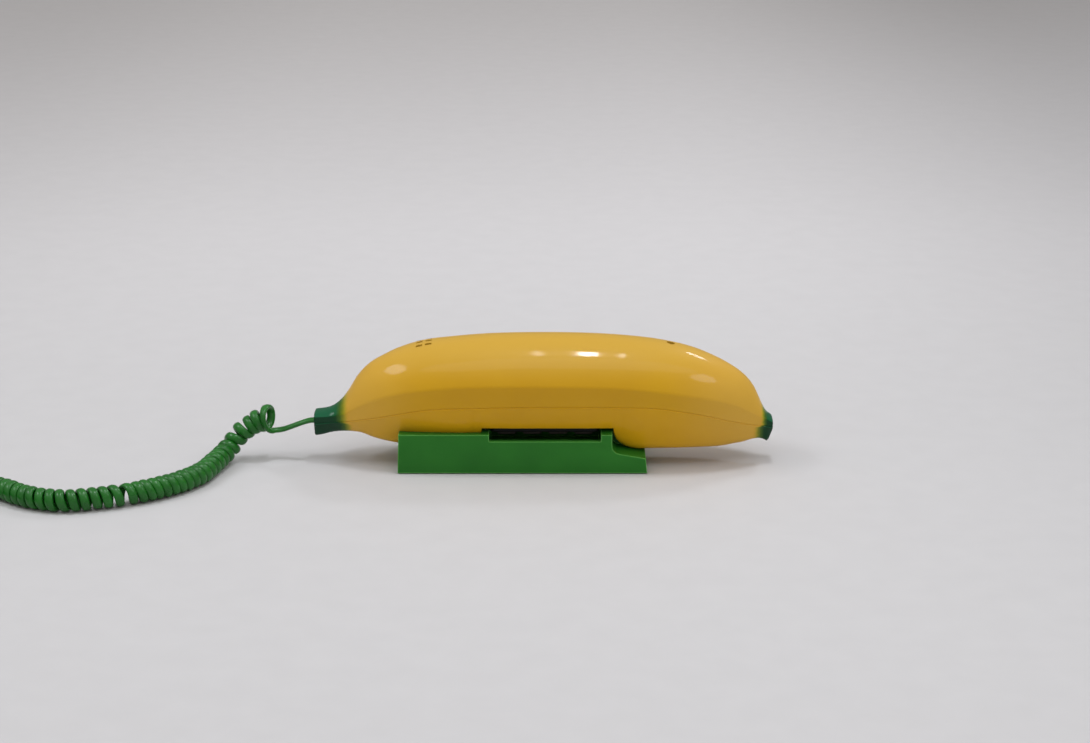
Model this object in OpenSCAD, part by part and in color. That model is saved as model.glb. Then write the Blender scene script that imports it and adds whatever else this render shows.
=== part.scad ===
// Banana-shaped one-piece telephone on its stand, with a curly cord.
// Frame: X along the handset towards its tip, Y across, Z up, origin under the handset's middle.
// The handset lies face down, so its keypad face looks towards the table.

/* [Handset] */
// Length from the stem's end to the tip's end
handset_l = 230; // [215:1:245]
// Greatest width, across the two ridges
handset_w = 52; // [49:0.5:58]
// Height of the back above the keypad face
back_h = 43.8; // [42:0.2:50]
// Drop of the two bulges below the keypad face
bulge_drop = 13.2; // [12.4:0.1:14]
// Lean of the lower sides from upright, in degrees
side_lean = 28; // [26:0.5:29]
// Thickness of the two shells
wall = 2.2; // [1.8:0.1:2.4]
// Length of the flat keypad face between the bulges
face_l = 65.5; // [64:0.5:70]
// Place of the keypad face's middle along X
face_x = 2; // [0:0.5:4]
// Length over which each bulge drops away from the keypad face
bulge_round = 14; // [12:0.5:16]

/* [Keypad] */
// Length of a key along the handset
key_l = 9.6; // [8:0.1:10]
// Width of a key across the handset
key_w = 6.6; // [5.6:0.1:7]
// Distance between key columns across the handset
key_pitch_w = 8.9; // [8.7:0.1:9.3]
// Height of a key above the bezel
key_stand = 1.8; // [1.4:0.1:2.2]
// Travel of a key
key_travel = 1.2; // [0.8:0.1:1.3]
// Height of the keypad bezel above the keypad face
bezel_stand = 3; // [2.4:0.1:3.4]
// Width of the keypad bezel
bezel_w = 28.6; // [28:0.2:30]

/* [Stand] */
// Height of the stand's blocks
stand_h = 20.5; // [19:0.5:24]
// Depth of the stand from front to back
stand_w = 44; // [43:0.5:54]
// Length of the block that holds the mouthpiece bulge
block_l = 45.5; // [40:0.5:50]
// Thickness of the post beside the earpiece bulge
post_l = 5.5; // [4.5:0.5:6]
// Length of the curved seat under the earpiece bulge
seat_l = 17.5; // [15:0.5:22]
// Height of the seat's outer end
seat_h = 8.2; // [7.8:0.1:8.4]
// Thickness of the walls around the keypad pocket
pocket_wall = 3; // [2.4:0.2:4]
// Height of the low wall in front of the keypad
low_wall_h = 17; // [13:0.5:18]
// Height of the keypad pocket's floor
pocket_floor_h = 6; // [5:0.5:8]
// Thickness of the stand's skin above its hollow underside
skin = 2.3; // [1.8:0.1:2.6]
// Gap between the keypad face and the top of the stand
face_gap = 1.9; // [1.6:0.1:2.4]
// Diameter of a rubber foot
foot_d = 9; // [7:0.5:10]

/* [Inside the handset] */
// Place of the screw in the back, along X
back_screw_x = 63.4; // [62:0.2:65]
// Place of the screw near the stem, along X
stem_screw_x = -84; // [-86:0.5:-82]
// Place of the earpiece capsule along X
receiver_x = 80; // [79:0.5:81]
// Radius of the earpiece capsule
receiver_r = 11; // [9.5:0.1:11.2]
// Place of the microphone along X
mic_x = -66; // [-68:0.5:-64]
// Radius of the microphone's rubber boot
boot_r = 6; // [5.6:0.1:6.6]
// Place of the ringer along X
ringer_x = -59.5; // [-61:0.5:-58]
// Radius of the ringer disc
ringer_r = 11.5; // [10:0.1:12]
// Length of a ringer slot
slot_l = 3.3; // [2.6:0.1:3.8]
// Width of a ringer slot
slot_w = 1.8; // [1.2:0.1:2.2]
// Width of the circuit board
board_w = 33; // [32:0.2:33.6]
// Thickness of the circuit board
board_t = 1.6; // [1.2:0.1:1.8]
// Travel of the hook plunger
hook_travel = 3; // [2:0.1:3.2]
// Radius of the hook plunger
plunger_r = 1.8; // [1.5:0.1:2]
// Travel of each slide switch to either side
slider_travel = 2; // [1.5:0.1:2.4]

/* [Cord] */
// Width of the flat cord
cord_w = 4.3; // [4:0.1:5]
// Thickness of the flat cord
cord_t = 2.5; // [2:0.1:2.6]
// Outer diameter of the curly cord
coil_d = 10.9; // [10:0.1:10.9]

/* [Hidden] */
$fn = 48;

YELLOW = [0.83, 0.66, 0.20];
GREEN = [0.14, 0.42, 0.15];
BLACK = [0.08, 0.08, 0.08];
GREY = [0.55, 0.56, 0.58];
STEEL = [0.7, 0.71, 0.73];
BOARD = [0.25, 0.42, 0.2];
RUBBER = [0.16, 0.16, 0.17];

// ---- Form of the handset ----
// Each line is [share of the half length, share of a height or width].
back_line = [[-1, 0.089], [-0.93, 0.126], [-0.887, 0.208], [-0.852, 0.322], [-0.809, 0.507],
    [-0.757, 0.648], [-0.696, 0.742], [-0.626, 0.829], [-0.522, 0.911], [-0.391, 0.954],
    [-0.217, 0.989], [0, 1], [0.217, 0.989], [0.391, 0.957], [0.522, 0.911], [0.643, 0.836],
    [0.748, 0.724], [0.835, 0.596], [0.887, 0.482], [0.922, 0.356], [0.952, 0.178],
    [0.974, 0.075], [1, 0.025]];
ridge_line = [[-1, 0.05], [-0.93, 0.06], [-0.878, 0.095], [-0.817, 0.205], [-0.687, 0.38],
    [-0.544, 0.475], [-0.4, 0.523], [-0.26, 0.543], [0.07, 0.548], [0.278, 0.534],
    [0.435, 0.5], [0.587, 0.436], [0.74, 0.342], [0.835, 0.25], [0.904, 0.13], [1, -0.02]];
seam_line = [[-1, -0.032], [-0.878, 0.009], [-0.8, 0.066], [-0.617, 0.194], [-0.504, 0.256],
    [-0.4, 0.279], [-0.157, 0.301], [0.07, 0.306], [0.435, 0.292], [0.548, 0.258],
    [0.704, 0.164], [0.823, 0.062], [0.948, -0.046], [1, -0.07]];
belly_line = [[-1, 0.68], [-0.97, 0.64], [-0.913, 0.515], [-0.86, 0.465], [-0.813, 0.44],
    [-0.787, 0.47], [-0.75, 0.6], [-0.709, 0.7], [-0.657, 0.8], [-0.6, 0.88], [-0.52, 0.95],
    [-0.42, 1], [0.75, 1], [0.8, 0.97], [0.835, 0.925], [0.875, 0.89], [0.91, 0.8],
    [0.945, 0.78], [0.968, 0.845], [0.981, 0.885], [1, 0.45]];
plan_line = [[-1, 0.26], [-0.93, 0.28], [-0.887, 0.33], [-0.852, 0.405], [-0.809, 0.51],
    [-0.757, 0.62], [-0.696, 0.727], [-0.609, 0.83], [-0.478, 0.923], [-0.304, 0.98],
    [-0.087, 1], [0.13, 1], [0.33, 0.988], [0.478, 0.958], [0.609, 0.892], [0.73, 0.77],
    [0.826, 0.608], [0.896, 0.438], [0.93, 0.342], [0.957, 0.277], [0.978, 0.26], [1, 0.242]];
DOME = 70;              // turn of the back between its crown and the ridge, in degrees
SEAM_IN = 0.975;        // half width at the seam, as a share of the ridge's
BOTTOM_MIN = 0.5;       // least half width of the underside, as a share of the seam's
EDGE_R = 1.2;           // rounding beside the keypad face
BULGE_R = 5;            // rounding of the bulges' lower edges
BULGE_POWER = 2.35;     // how full the bulges' front curve is: 2 is round, more is fuller
DOME_STEPS = 6;
CORNER_STEPS = 4;
END_WALL = 5;           // solid stem end
TIP_WALL = 7;           // solid tip
face_z = stand_h + face_gap;
half_l = handset_l / 2;
face_x0 = face_x - face_l / 2;
face_x1 = face_x + face_l / 2;
hollow_x0 = END_WALL - half_l;
hollow_x1 = half_l - TIP_WALL;

function seg(p, u, i = 0) = (i >= len(p) - 2 || u < p[i + 1][0]) ? i : seg(p, u, i + 1);
function slope(p, i) =
    let (a = max(i - 1, 0), b = min(i + 1, len(p) - 1))
    (p[b][1] - p[a][1]) / (p[b][0] - p[a][0]);
// Smooth value at u of a line given by a few points
function curve(p, u) =
    let (i = seg(p, u), h = p[i + 1][0] - p[i][0], t = (u - p[i][0]) / h)
    (2 * t^3 - 3 * t^2 + 1) * p[i][1] + (t^3 - 2 * t^2 + t) * h * slope(p, i)
    + (3 * t^2 - 2 * t^3) * p[i + 1][1] + (t^3 - t^2) * h * slope(p, i + 1);

function top_z(x) = back_h * curve(back_line, x / half_l);
function ridge_z(x) = back_h * curve(ridge_line, x / half_l);
function seam_z(x) = back_h * curve(seam_line, x / half_l);
function ridge_w(x) = handset_w / 2 * curve(plan_line, x / half_l);
function seam_w(x, t = 0) = SEAM_IN * ridge_w(x) - t / cos(side_lean);
function past_face(x) = abs(x - face_x) - face_l / 2;
function rise(d) = d <= 0 ? 0 : d >= bulge_round ? 1 :
    (1 - (1 - d / bulge_round)^BULGE_POWER)^(1 / BULGE_POWER);
function belly_z(x, t = 0) =
    t - bulge_drop * curve(belly_line, x / half_l) * rise(past_face(x) - t);
function corner_w(x, t = 0) =
    let (side = seam_w(x) - tan(side_lean) * (seam_z(x) - belly_z(x, t) + t))
    max(side, BOTTOM_MIN * seam_w(x)) - t * (1 - sin(side_lean)) / cos(side_lean);

// Half outline of the back at x, from the seam to the crown, moved inwards by t
function upper(x, t = 0) =
    let (a = (ridge_w(x) - t) / sin(DOME),
         top = top_z(x) - t,
         b = (top - ridge_z(x) + t / 3) / (1 - cos(DOME)))
    concat([[seam_w(x, t), seam_z(x)]],
           [for (k = [DOME_STEPS:-1:0]) let (f = DOME * k / DOME_STEPS)
                [a * sin(f), top - b * (1 - cos(f))]]);
// Half outline of the underside at x, from the seam to its flat bottom, moved inwards by t
function lower(x, t = 0) =
    let (s = [seam_w(x, t), seam_z(x)],
         c = [corner_w(x, t), belly_z(x, t)],
         r = min(EDGE_R + (BULGE_R - EDGE_R) * rise(past_face(x)), 0.8 * c[0],
                 0.8 * norm(s - c)),
         p = c + r * (s - c) / norm(s - c),
         q = c - [r, 0])
    concat([s],
           [for (k = [0:CORNER_STEPS]) let (u = k / CORNER_STEPS)
                (1 - u)^2 * p + 2 * u * (1 - u) * c + u^2 * q]);
// A half outline carried across from the seam at +Y to the seam at -Y
function across(half) = concat(half,
    [for (k = [len(half) - 1:-1:0]) if (half[k][0] > 0) [-half[k][0], half[k][1]]]);
function mirrored(ring) = [for (p = ring) [-p[0], p[1]]];
function chord(n, x, t) =
    [for (k = [0:n - 1]) [seam_w(x, t) * (2 * k / (n - 1) - 1), seam_z(x)]];
function is_hollow(x) = x > hollow_x0 && x < hollow_x1;
function back_ring(x) =
    let (inner = mirrored(across(upper(x, wall))))
    concat(across(upper(x)), is_hollow(x) ? inner : chord(len(inner), x, wall));
function face_ring(x) =
    let (inner = mirrored(across(lower(x, wall))))
    concat(across(lower(x)), is_hollow(x) ? inner : chord(len(inner), x, wall));
function placed(ring, x) = [for (p = ring) [x, p[0], face_z + p[1]]];

// Sections along the handset, closer together at its ends and where the bulges begin
STEP_SHARES = [0.02, 0.06, 0.13, 0.23, 0.38, 0.6, 1];
end_steps = [for (d = STEP_SHARES) d * bulge_round];
function spread(a, b, n) = [for (i = [0:n - 1]) a + (b - a) * i / n];
stations = concat(
    spread(-half_l, hollow_x0, 2),
    [hollow_x0, hollow_x0 + 1.5],
    spread(hollow_x0 + 3, -0.78 * half_l, 6),
    spread(-0.78 * half_l, face_x0 - bulge_round - 3, 5),
    [for (k = [len(end_steps) - 1:-1:0]) face_x0 - end_steps[k]],
    spread(face_x0, face_x1, 3),
    [face_x1],
    [for (d = end_steps) face_x1 + d],
    spread(face_x1 + bulge_round + 5, 0.8 * half_l, 4),
    spread(0.8 * half_l, hollow_x1 - 1.5, 6),
    [hollow_x1 - 1.5, hollow_x1],
    spread(hollow_x1 + 1.4, half_l, 4),
    [half_l]);

// Solid through a row of rings with an even number of points, its ends closed by strips
module loft(rings, flip = false) {
    n = len(rings[0]);
    m = len(rings);
    sides = [for (i = [0:m - 2]) for (j = [0:n - 1])
        let (a = i * n + j, b = i * n + (j + 1) % n, c = b + n, d = a + n)
        each [[a, d, c], [a, c, b]]];
    cap = [for (j = [0:n / 2 - 2]) let (k = n - 1 - j)
        each j < n / 4 ? [[j, j + 1, k], [j + 1, k - 1, k]] : [[j, j + 1, k - 1], [j, k - 1, k]]];
    far = [for (f = cap) [for (k = [2:-1:0]) f[k] + (m - 1) * n]];
    faces = concat(cap, far, sides);
    polyhedron([for (r = rings) for (p = r) p],
        flip ? [for (f = faces) [f[2], f[1], f[0]]] : faces);
}

// ---- Plain building blocks ----
module rounded_plate(l, w, h, r) {
    linear_extrude(h) {
        square([l - 2 * r, w], center = true);
        square([l, w - 2 * r], center = true);
        for (x = [-1, 1], y = [-1, 1]) translate([x * (l / 2 - r), y * (w / 2 - r)]) circle(r);
    }
}
module tube(outer, inner, h) {
    difference() {
        cylinder(r = outer, h = h);
        translate([0, 0, -1]) cylinder(r = inner, h = h + 2);
    }
}
// Moves to a place given in the handset's own heights, above its keypad face
module on_handset(x, y, z) {
    translate([x, y, face_z + z]) children();
}

// ---- Places along the stand ----
POST_GAP = 0.75;        // post to the earpiece bulge
NEST_GAP = 0.4;         // stand to the mouthpiece bulge
POCKET_IN = 3.75;       // start of the keypad face to the keypad pocket
END_DRAFT = 0.7;        // how far the ends lean in at the top
SOLE = 0.5;             // stand's lower rim to the table
SEAT_TURN_R = 4.2;      // hollow corner at the foot of the post
RIB_W = 12;             // rib behind the post, under the earpiece bulge
RIB_GAP = 0.5;          // rib to the earpiece bulge
SEAT_FALL = 10.4;       // fall of the seat towards its end, in degrees
FOOT_T = 2;
FOOT_IN = 8.2;          // foot centres to the stand's ends and sides
OUTER_WALL = 2.4;
post_x1 = face_x1 - POST_GAP;
pocket_x1 = post_x1 - post_l;
pocket_x0 = face_x0 + POCKET_IN;
pocket_l = pocket_x1 - pocket_x0;
stand_x0 = pocket_x0 - block_l;
stand_x1 = post_x1 + seat_l;
nest_z = stand_h + face_gap - bulge_drop - NEST_GAP;

// ---- Keypad ----
NAMES = [["star", "7", "4", "1"], ["0", "8", "5", "2"], ["hash", "9", "6", "3"]];
BEZEL_GAP = 0.75;       // bezel to the pocket's ends
PANEL_FIT = 0.2;        // bezel to the hole in the face shell
KEY_FIT = 0.3;          // key to its hole in the bezel
KEY_GAP = 0.3;          // key's flange to the bezel's plate, and pressed key to the board
KEY_MARGIN = 3;         // outer keys to the bezel's ends
FLANGE_SHARE = 0.22;    // key's flange, as a share of the space between two rows
FLANGE_T = 1;
BEZEL_PLATE_T = 1.8;
BEZEL_WALL = 1;
BEZEL_FLANGE = 1.2;
BEZEL_FLANGE_T = 1.2;
PLUNGER_R = 1.6;
MAT_T = 1;
COLLAR_R = 3.2;
COLLAR_FIT = 0.6;
COLLAR_GAP = 0.4;       // pressed key to the mat's collars
bezel_l = pocket_l - 2 * BEZEL_GAP;
keypad_x = (pocket_x0 + pocket_x1) / 2;
key_pitch_l = (bezel_l - key_l - 2 * KEY_MARGIN) / 3;
key_flange = FLANGE_SHARE * (key_pitch_l - key_l);
bezel_plate_z = BEZEL_PLATE_T - bezel_stand;
key_z0 = -bezel_stand - key_stand;
key_flange_z = bezel_plate_z + KEY_GAP;
mat_z = wall + BEZEL_FLANGE_T;
board_z = mat_z + MAT_T;
board_top = board_z + board_t;
function key_x(row) = keypad_x + (row - 1.5) * key_pitch_l;
function key_y(col) = (col - 1) * key_pitch_w;

module key_grid() {
    for (col = [0:2], row = [0:3]) translate([key_x(row) - keypad_x, key_y(col), 0]) children();
}
module key(col, row) {
    flange_top = key_flange_z + FLANGE_T;
    color(GREY) on_handset(key_x(row), key_y(col), 0) {
        translate([0, 0, key_z0]) rounded_plate(key_l, key_w, key_flange_z - key_z0, 1.2);
        translate([0, 0, key_flange_z])
            rounded_plate(key_l + 2 * key_flange, key_w + 2 * key_flange, FLANGE_T, 1);
        translate([0, 0, flange_top])
            cylinder(r = PLUNGER_R, h = board_z - KEY_GAP - key_travel - flange_top);
    }
}
module keypad_bezel() {
    color(BLACK) on_handset(keypad_x, 0, 0) difference() {
        union() {
            translate([0, 0, -bezel_stand])
                rounded_plate(bezel_l, bezel_w, bezel_stand + wall, 2);
            translate([0, 0, wall])
                rounded_plate(bezel_l + 2 * BEZEL_FLANGE, bezel_w + 2 * BEZEL_FLANGE,
                    BEZEL_FLANGE_T, 2);
        }
        translate([0, 0, bezel_plate_z])
            rounded_plate(bezel_l - 2 * BEZEL_WALL, bezel_w - 2 * BEZEL_WALL,
                bezel_stand + wall + BEZEL_FLANGE_T, 1.5);
        key_grid() translate([0, 0, -bezel_stand - 1])
            rounded_plate(key_l + 2 * KEY_FIT, key_w + 2 * KEY_FIT, BEZEL_PLATE_T + 2, 1.2);
    }
}
module key_mat() {
    collar_h = mat_z - (key_flange_z + FLANGE_T + key_travel + COLLAR_GAP);
    color([0.75, 0.75, 0.7]) on_handset(keypad_x, 0, mat_z) difference() {
        union() {
            rounded_plate(bezel_l + 2 * BEZEL_FLANGE, bezel_w + 2 * BEZEL_FLANGE, MAT_T, 2);
            key_grid() translate([0, 0, -collar_h]) cylinder(r = COLLAR_R, h = collar_h + MAT_T / 2);
        }
        key_grid() translate([0, 0, -collar_h - 1])
            cylinder(r = PLUNGER_R + COLLAR_FIT, h = collar_h + MAT_T + 2);
    }
}

// ---- Stand ----
function seat_corner() =
    let (cx = post_x1 + SEAT_TURN_R,
         run = stand_x1 - END_DRAFT - cx,
         cz = seat_h + run * tan(SEAT_FALL) + SEAT_TURN_R)
    [for (k = [0:6]) let (f = 180 + (90 - SEAT_FALL) * k / 6)
        [cx + SEAT_TURN_R * cos(f), cz + SEAT_TURN_R * sin(f)]];
module stand_profile() {
    polygon(concat(
        [[stand_x0, SOLE], [stand_x0 + END_DRAFT, stand_h], [post_x1, stand_h]],
        seat_corner(),
        [[stand_x1 - END_DRAFT, seat_h], [stand_x1, SOLE]]));
}
// Space that the mouthpiece bulge takes, a little larger than the bulge itself
module bulge_nest() {
    xs = [for (k = [0:7]) stand_x0 - 2 + (face_x0 - bulge_round - stand_x0) * k / 7];
    near = [for (k = [len(end_steps) - 1:-1:0]) face_x0 + NEST_GAP - end_steps[k]];
    loft([for (x = concat(xs, near)) placed(across(lower(x, -NEST_GAP)), x)], flip = true);
}
// Rib that follows the front of the earpiece bulge, from the post down to the seat
module post_rib() {
    foot_z = seat_h + 1;
    top_z = stand_h - RIB_GAP;
    edge = [for (d = end_steps) if (d < bulge_round / 2)
        [face_x1 + d - RIB_GAP, face_z + belly_z(face_x1 + d) - RIB_GAP / 2]];
    translate([0, RIB_W / 2, 0]) rotate([90, 0, 0]) linear_extrude(RIB_W)
        polygon(concat([[post_x1 - 1, foot_z], [post_x1 - 1, top_z], [face_x1 - RIB_GAP, top_z]], edge,
            [[edge[len(edge) - 1][0], foot_z]]));
}
module foot_places() {
    for (x = [stand_x0 + FOOT_IN, stand_x1 - FOOT_IN], y = [-1, 1])
        translate([x, y * (stand_w / 2 - FOOT_IN), 0]) children();
}
module under_hollow(x0, x1, ceiling) {
    w = stand_w - 2 * OUTER_WALL;
    translate([x0, -w / 2, SOLE - 1]) cube([x1 - x0, w, ceiling - SOLE + 1]);
}
module base_shell() {
    color(GREEN) {
        difference() {
            translate([0, stand_w / 2, 0]) rotate([90, 0, 0])
                linear_extrude(stand_w) stand_profile();
            bulge_nest();
            translate([pocket_x0, pocket_wall - stand_w / 2, pocket_floor_h])
                cube([pocket_l, stand_w - 2 * pocket_wall, stand_h]);
            translate([pocket_x0, -stand_w / 2 - 1, low_wall_h])
                cube([pocket_l, stand_w + 2, stand_h]);
            under_hollow(stand_x0 + OUTER_WALL + END_DRAFT, pocket_x0 - OUTER_WALL, nest_z - skin);
            under_hollow(pocket_x0, pocket_x1, pocket_floor_h - skin);
            under_hollow(pocket_x1 + OUTER_WALL, stand_x1 - OUTER_WALL - END_DRAFT, seat_h - skin);
        }
        post_rib();
        foot_places() translate([0, 0, FOOT_T])
            cylinder(r = foot_d / 2 + 1, h = nest_z - skin / 2 - FOOT_T);
    }
}
module base_feet() {
    color(RUBBER) foot_places() cylinder(r = foot_d / 2, h = FOOT_T);
}

// ---- Shells of the handset ----
BOSS_R = 3.6;
STUD_R = 3.2;           // boss that takes a screw's thread
WELL_R = 2.1;           // screw's well
SHANK_HOLE_R = 1.5;
SHANK_R = 1.3;
HEAD_T = 2;
FLOOR_T = 2;            // floor of a screw's well
JOIN_Z = 22;            // height at which the two bosses of the back screw meet
STEM_JOIN_Z = 0;        // the same for the screw near the stem
PORT_R = 3.6;           // cord's port in the stem
GROOVE = [1.5, 3.5];    // groove in the port, from the stem's end
GROOVE_DEPTH = 1;
GROMMET_FIT = 0.1;
HOLD = 1;               // how deep a boss reaches into its wall
COVER = 0.6;            // least wall outside a boss
RECEIVER_SEAT_Z = -8.5;
MIC_SEAT_Z = -7.5;
RECEIVER_SEAT_R = 9;
SOUND_R = 0.9;
SOUND_RING = 4.5;
RINGER_Z = 29;
RINGER_BOSS_R = 2;
SWITCH_Z = 8.5;
SLIDER_L = 3.6;
SLIDER_H = 2.6;
SLIDER_FIT = 0.3;
MODE_X = 12;
RINGER_SWITCH_X = -14;
WEIGHT_X = 12;
WEIGHT_L = 44;
WEIGHT_W = 20;
WEIGHT_T = 5;
WEIGHT_Z = 33;
WEIGHT_SCREWS = 24;     // distance between the weight's screws
SLOT_PITCH_L = 4.6;
SLOT_PITCH_W = 4.5;
BOARD_BOSS_R = 2.4;
BOARD_SCREW_R = 1;
BOARD_HEAD_R = 2.1;
BOARD_SCREW_FIT = 0.08;
port_z = seam_z(-half_l);
board_x0 = face_x0 - 11;
board_x1 = face_x1 + 2.5;
plunger_x = post_x1 - plunger_r - 0.2;
board_bosses = [[face_x0 - 3.5, -10], [face_x0 - 3.5, 10],
                [face_x1 - 2.6, -12.5], [face_x1 - 2.6, 12.5]];

module cord_port() {
    on_handset(-half_l, 0, port_z) rotate([0, 90, 0]) {
        translate([0, 0, -1]) cylinder(r = PORT_R, h = END_WALL + 3);
        translate([0, 0, GROOVE[0]]) cylinder(r = PORT_R + GROOVE_DEPTH, h = GROOVE[1] - GROOVE[0]);
    }
}
module back_shell() {
    screw_top = top_z(back_screw_x + BOSS_R) - COVER;
    color(YELLOW) difference() {
        union() {
            loft([for (x = stations) placed(back_ring(x), x)]);
            on_handset(back_screw_x, 0, JOIN_Z) cylinder(r = BOSS_R, h = screw_top - JOIN_Z);
            for (k = [0, 1])
                on_handset(stem_screw_x + k * STUD_R / 2, 0, STEM_JOIN_Z) cylinder(r = STUD_R / (k + 1),
                    h = top_z(stem_screw_x - (1 - k) * STUD_R) - COVER - STEM_JOIN_Z);
            for (s = [-1, 1]) {
                ear = ringer_r - 1;
                crown = upper(ringer_x, wall);
                z = lookup(ear, crown);
                on_handset(ringer_x, s * ear, RINGER_Z) cylinder(r = RINGER_BOSS_R, h = z - RINGER_Z + HOLD / 2);
                wx = WEIGHT_X + s * WEIGHT_SCREWS / 2;
                weight_top = WEIGHT_Z + WEIGHT_T;
                on_handset(wx, 0, weight_top)
                    cylinder(r = BOARD_BOSS_R, h = top_z(wx) - wall + HOLD - weight_top);
            }
        }
        on_handset(back_screw_x, 0, JOIN_Z + FLOOR_T) cylinder(r = WELL_R, h = back_h);
        on_handset(back_screw_x, 0, JOIN_Z - 1) cylinder(r = SHANK_HOLE_R, h = FLOOR_T + 2);
        on_handset(stem_screw_x, 0, STEM_JOIN_Z - 1) cylinder(r = SHANK_R, h = 9);
        for (i = [-0.5, 0.5], j = [-1:1])
            on_handset(ringer_x + i * SLOT_PITCH_L, j * SLOT_PITCH_W, RINGER_Z + 4)
                translate([-slot_l / 2, -slot_w / 2, 0]) cube([slot_l, slot_w, back_h - RINGER_Z]);
        for (s = [-1, 1])
            on_handset(WEIGHT_X + s * WEIGHT_SCREWS / 2, 0, WEIGHT_Z)
                cylinder(r = BOARD_SCREW_R, h = WEIGHT_T + 3);
        cord_port();
    }
}
module side_window(x) {
    l = SLIDER_L + 2 * (slider_travel + SLIDER_FIT);
    h = SLIDER_H + 2 * SLIDER_FIT;
    on_handset(x - l / 2, board_w / 2 + 1, SWITCH_Z - h / 2) cube([l, handset_w / 2, h]);
}
module face_shell() {
    stud_z = belly_z(back_screw_x) + wall - HOLD;
    stem_z = belly_z(stem_screw_x - BOSS_R) + COVER;
    color(YELLOW) difference() {
        union() {
            loft([for (x = stations) placed(face_ring(x), x)], flip = true);
            on_handset(back_screw_x, 0, stud_z) cylinder(r = STUD_R, h = JOIN_Z - stud_z);
            on_handset(stem_screw_x, 0, stem_z) cylinder(r = BOSS_R, h = STEM_JOIN_Z - stem_z);
            for (p = board_bosses)
                on_handset(p[0], p[1], belly_z(p[0], wall) - HOLD)
                    cylinder(r = BOARD_BOSS_R, h = board_z - belly_z(p[0], wall) + HOLD);
            on_handset(receiver_x, 0, belly_z(receiver_x, wall) - HOLD / 2)
                cylinder(r = RECEIVER_SEAT_R, h = RECEIVER_SEAT_Z - belly_z(receiver_x, wall) + HOLD / 2);
            on_handset(mic_x, 0, belly_z(mic_x, wall) - HOLD / 2)
                cylinder(r = boot_r + 1.4, h = MIC_SEAT_Z + 3 - belly_z(mic_x, wall) + HOLD / 2);
        }
        on_handset(mic_x, 0, MIC_SEAT_Z) cylinder(r = boot_r + 0.1, h = 4);
        on_handset(mic_x, 0, -2 * bulge_drop) cylinder(r = SOUND_R, h = 2 * bulge_drop);
        for (a = [0:60:359])
            on_handset(receiver_x + SOUND_RING * cos(a), SOUND_RING * sin(a), -2 * bulge_drop)
                cylinder(r = SOUND_R, h = 2 * bulge_drop);
        on_handset(receiver_x, 0, -2 * bulge_drop) cylinder(r = SOUND_R, h = 2 * bulge_drop);
        on_handset(back_screw_x, 0, JOIN_Z - 9) cylinder(r = SHANK_R, h = 10);
        on_handset(stem_screw_x, 0, -2 * bulge_drop)
            cylinder(r = WELL_R, h = 2 * bulge_drop + STEM_JOIN_Z - FLOOR_T);
        on_handset(stem_screw_x, 0, STEM_JOIN_Z - FLOOR_T - 1) cylinder(r = SHANK_HOLE_R, h = FLOOR_T + 2);
        for (p = board_bosses)
            on_handset(p[0], p[1], board_z - 3.6) cylinder(r = BOARD_SCREW_R + BOARD_SCREW_FIT, h = 5);
        on_handset(plunger_x, 0, -1) cylinder(r = plunger_r + PLUNGER_FIT, h = wall + 2);
        on_handset(keypad_x, 0, -1)
            rounded_plate(bezel_l + 2 * PANEL_FIT, bezel_w + 2 * PANEL_FIT, wall + 2, 2);
        side_window(MODE_X);
        side_window(RINGER_SWITCH_X);
        cord_port();
    }
}
module shell_screws() {
    color(STEEL) {
        on_handset(back_screw_x, 0, JOIN_Z + FLOOR_T) cylinder(r = WELL_R - 0.2, h = HEAD_T);
        on_handset(back_screw_x, 0, JOIN_Z - 8) cylinder(r = SHANK_R - 0.05, h = 8 + FLOOR_T);
        on_handset(stem_screw_x, 0, STEM_JOIN_Z - FLOOR_T - HEAD_T) cylinder(r = WELL_R - 0.2, h = HEAD_T);
        on_handset(stem_screw_x, 0, STEM_JOIN_Z - FLOOR_T) cylinder(r = SHANK_R - 0.05, h = 7 + FLOOR_T);
    }
}

// ---- Electrical parts ----
SWITCH_L = 10;
SWITCH_D = 4;
SWITCH_H = 5.5;
HOOK_FLANGE_R = 2.7;
HOOK_FLANGE_T = 0.8;
PLUNGER_FIT = 0.3;
HOOK_LOW = 0.3;         // plunger's flange to the face shell when it is out
HOOK_GAP = 0.3;         // plunger to the post
SPRING_H = 6;
SPRING_R = 2.1;
SPRING_WIRE_R = 0.3;
SPRING_TURNS = 5;
HOOK_BODY_H = 4;
PLUNGER_HOLE_R = 3.8;
hook_flange_z = wall + HOOK_LOW + hook_travel;
spring_z = hook_flange_z + HOOK_FLANGE_T;
hook_body_z = spring_z + SPRING_H;

module circuit_board() {
    color(BOARD) difference() {
        on_handset((board_x0 + board_x1) / 2, 0, board_z)
            rounded_plate(board_x1 - board_x0, board_w, board_t, 1.5);
        on_handset(plunger_x, 0, board_z - 1) cylinder(r = PLUNGER_HOLE_R, h = board_t + 2);
        for (p = board_bosses)
            on_handset(p[0], p[1], board_z - 1) cylinder(r = BOARD_SCREW_R + 0.2, h = board_t + 2);
    }
}
module board_screws() {
    color(STEEL) for (p = board_bosses) on_handset(p[0], p[1], board_top) {
        cylinder(r = BOARD_HEAD_R, h = 1.3);
        translate([0, 0, -board_t - 3]) cylinder(r = BOARD_SCREW_R, h = board_t + 3);
    }
}
module on_board(x, y) {
    on_handset(x, y, board_top) children();
}
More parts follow.
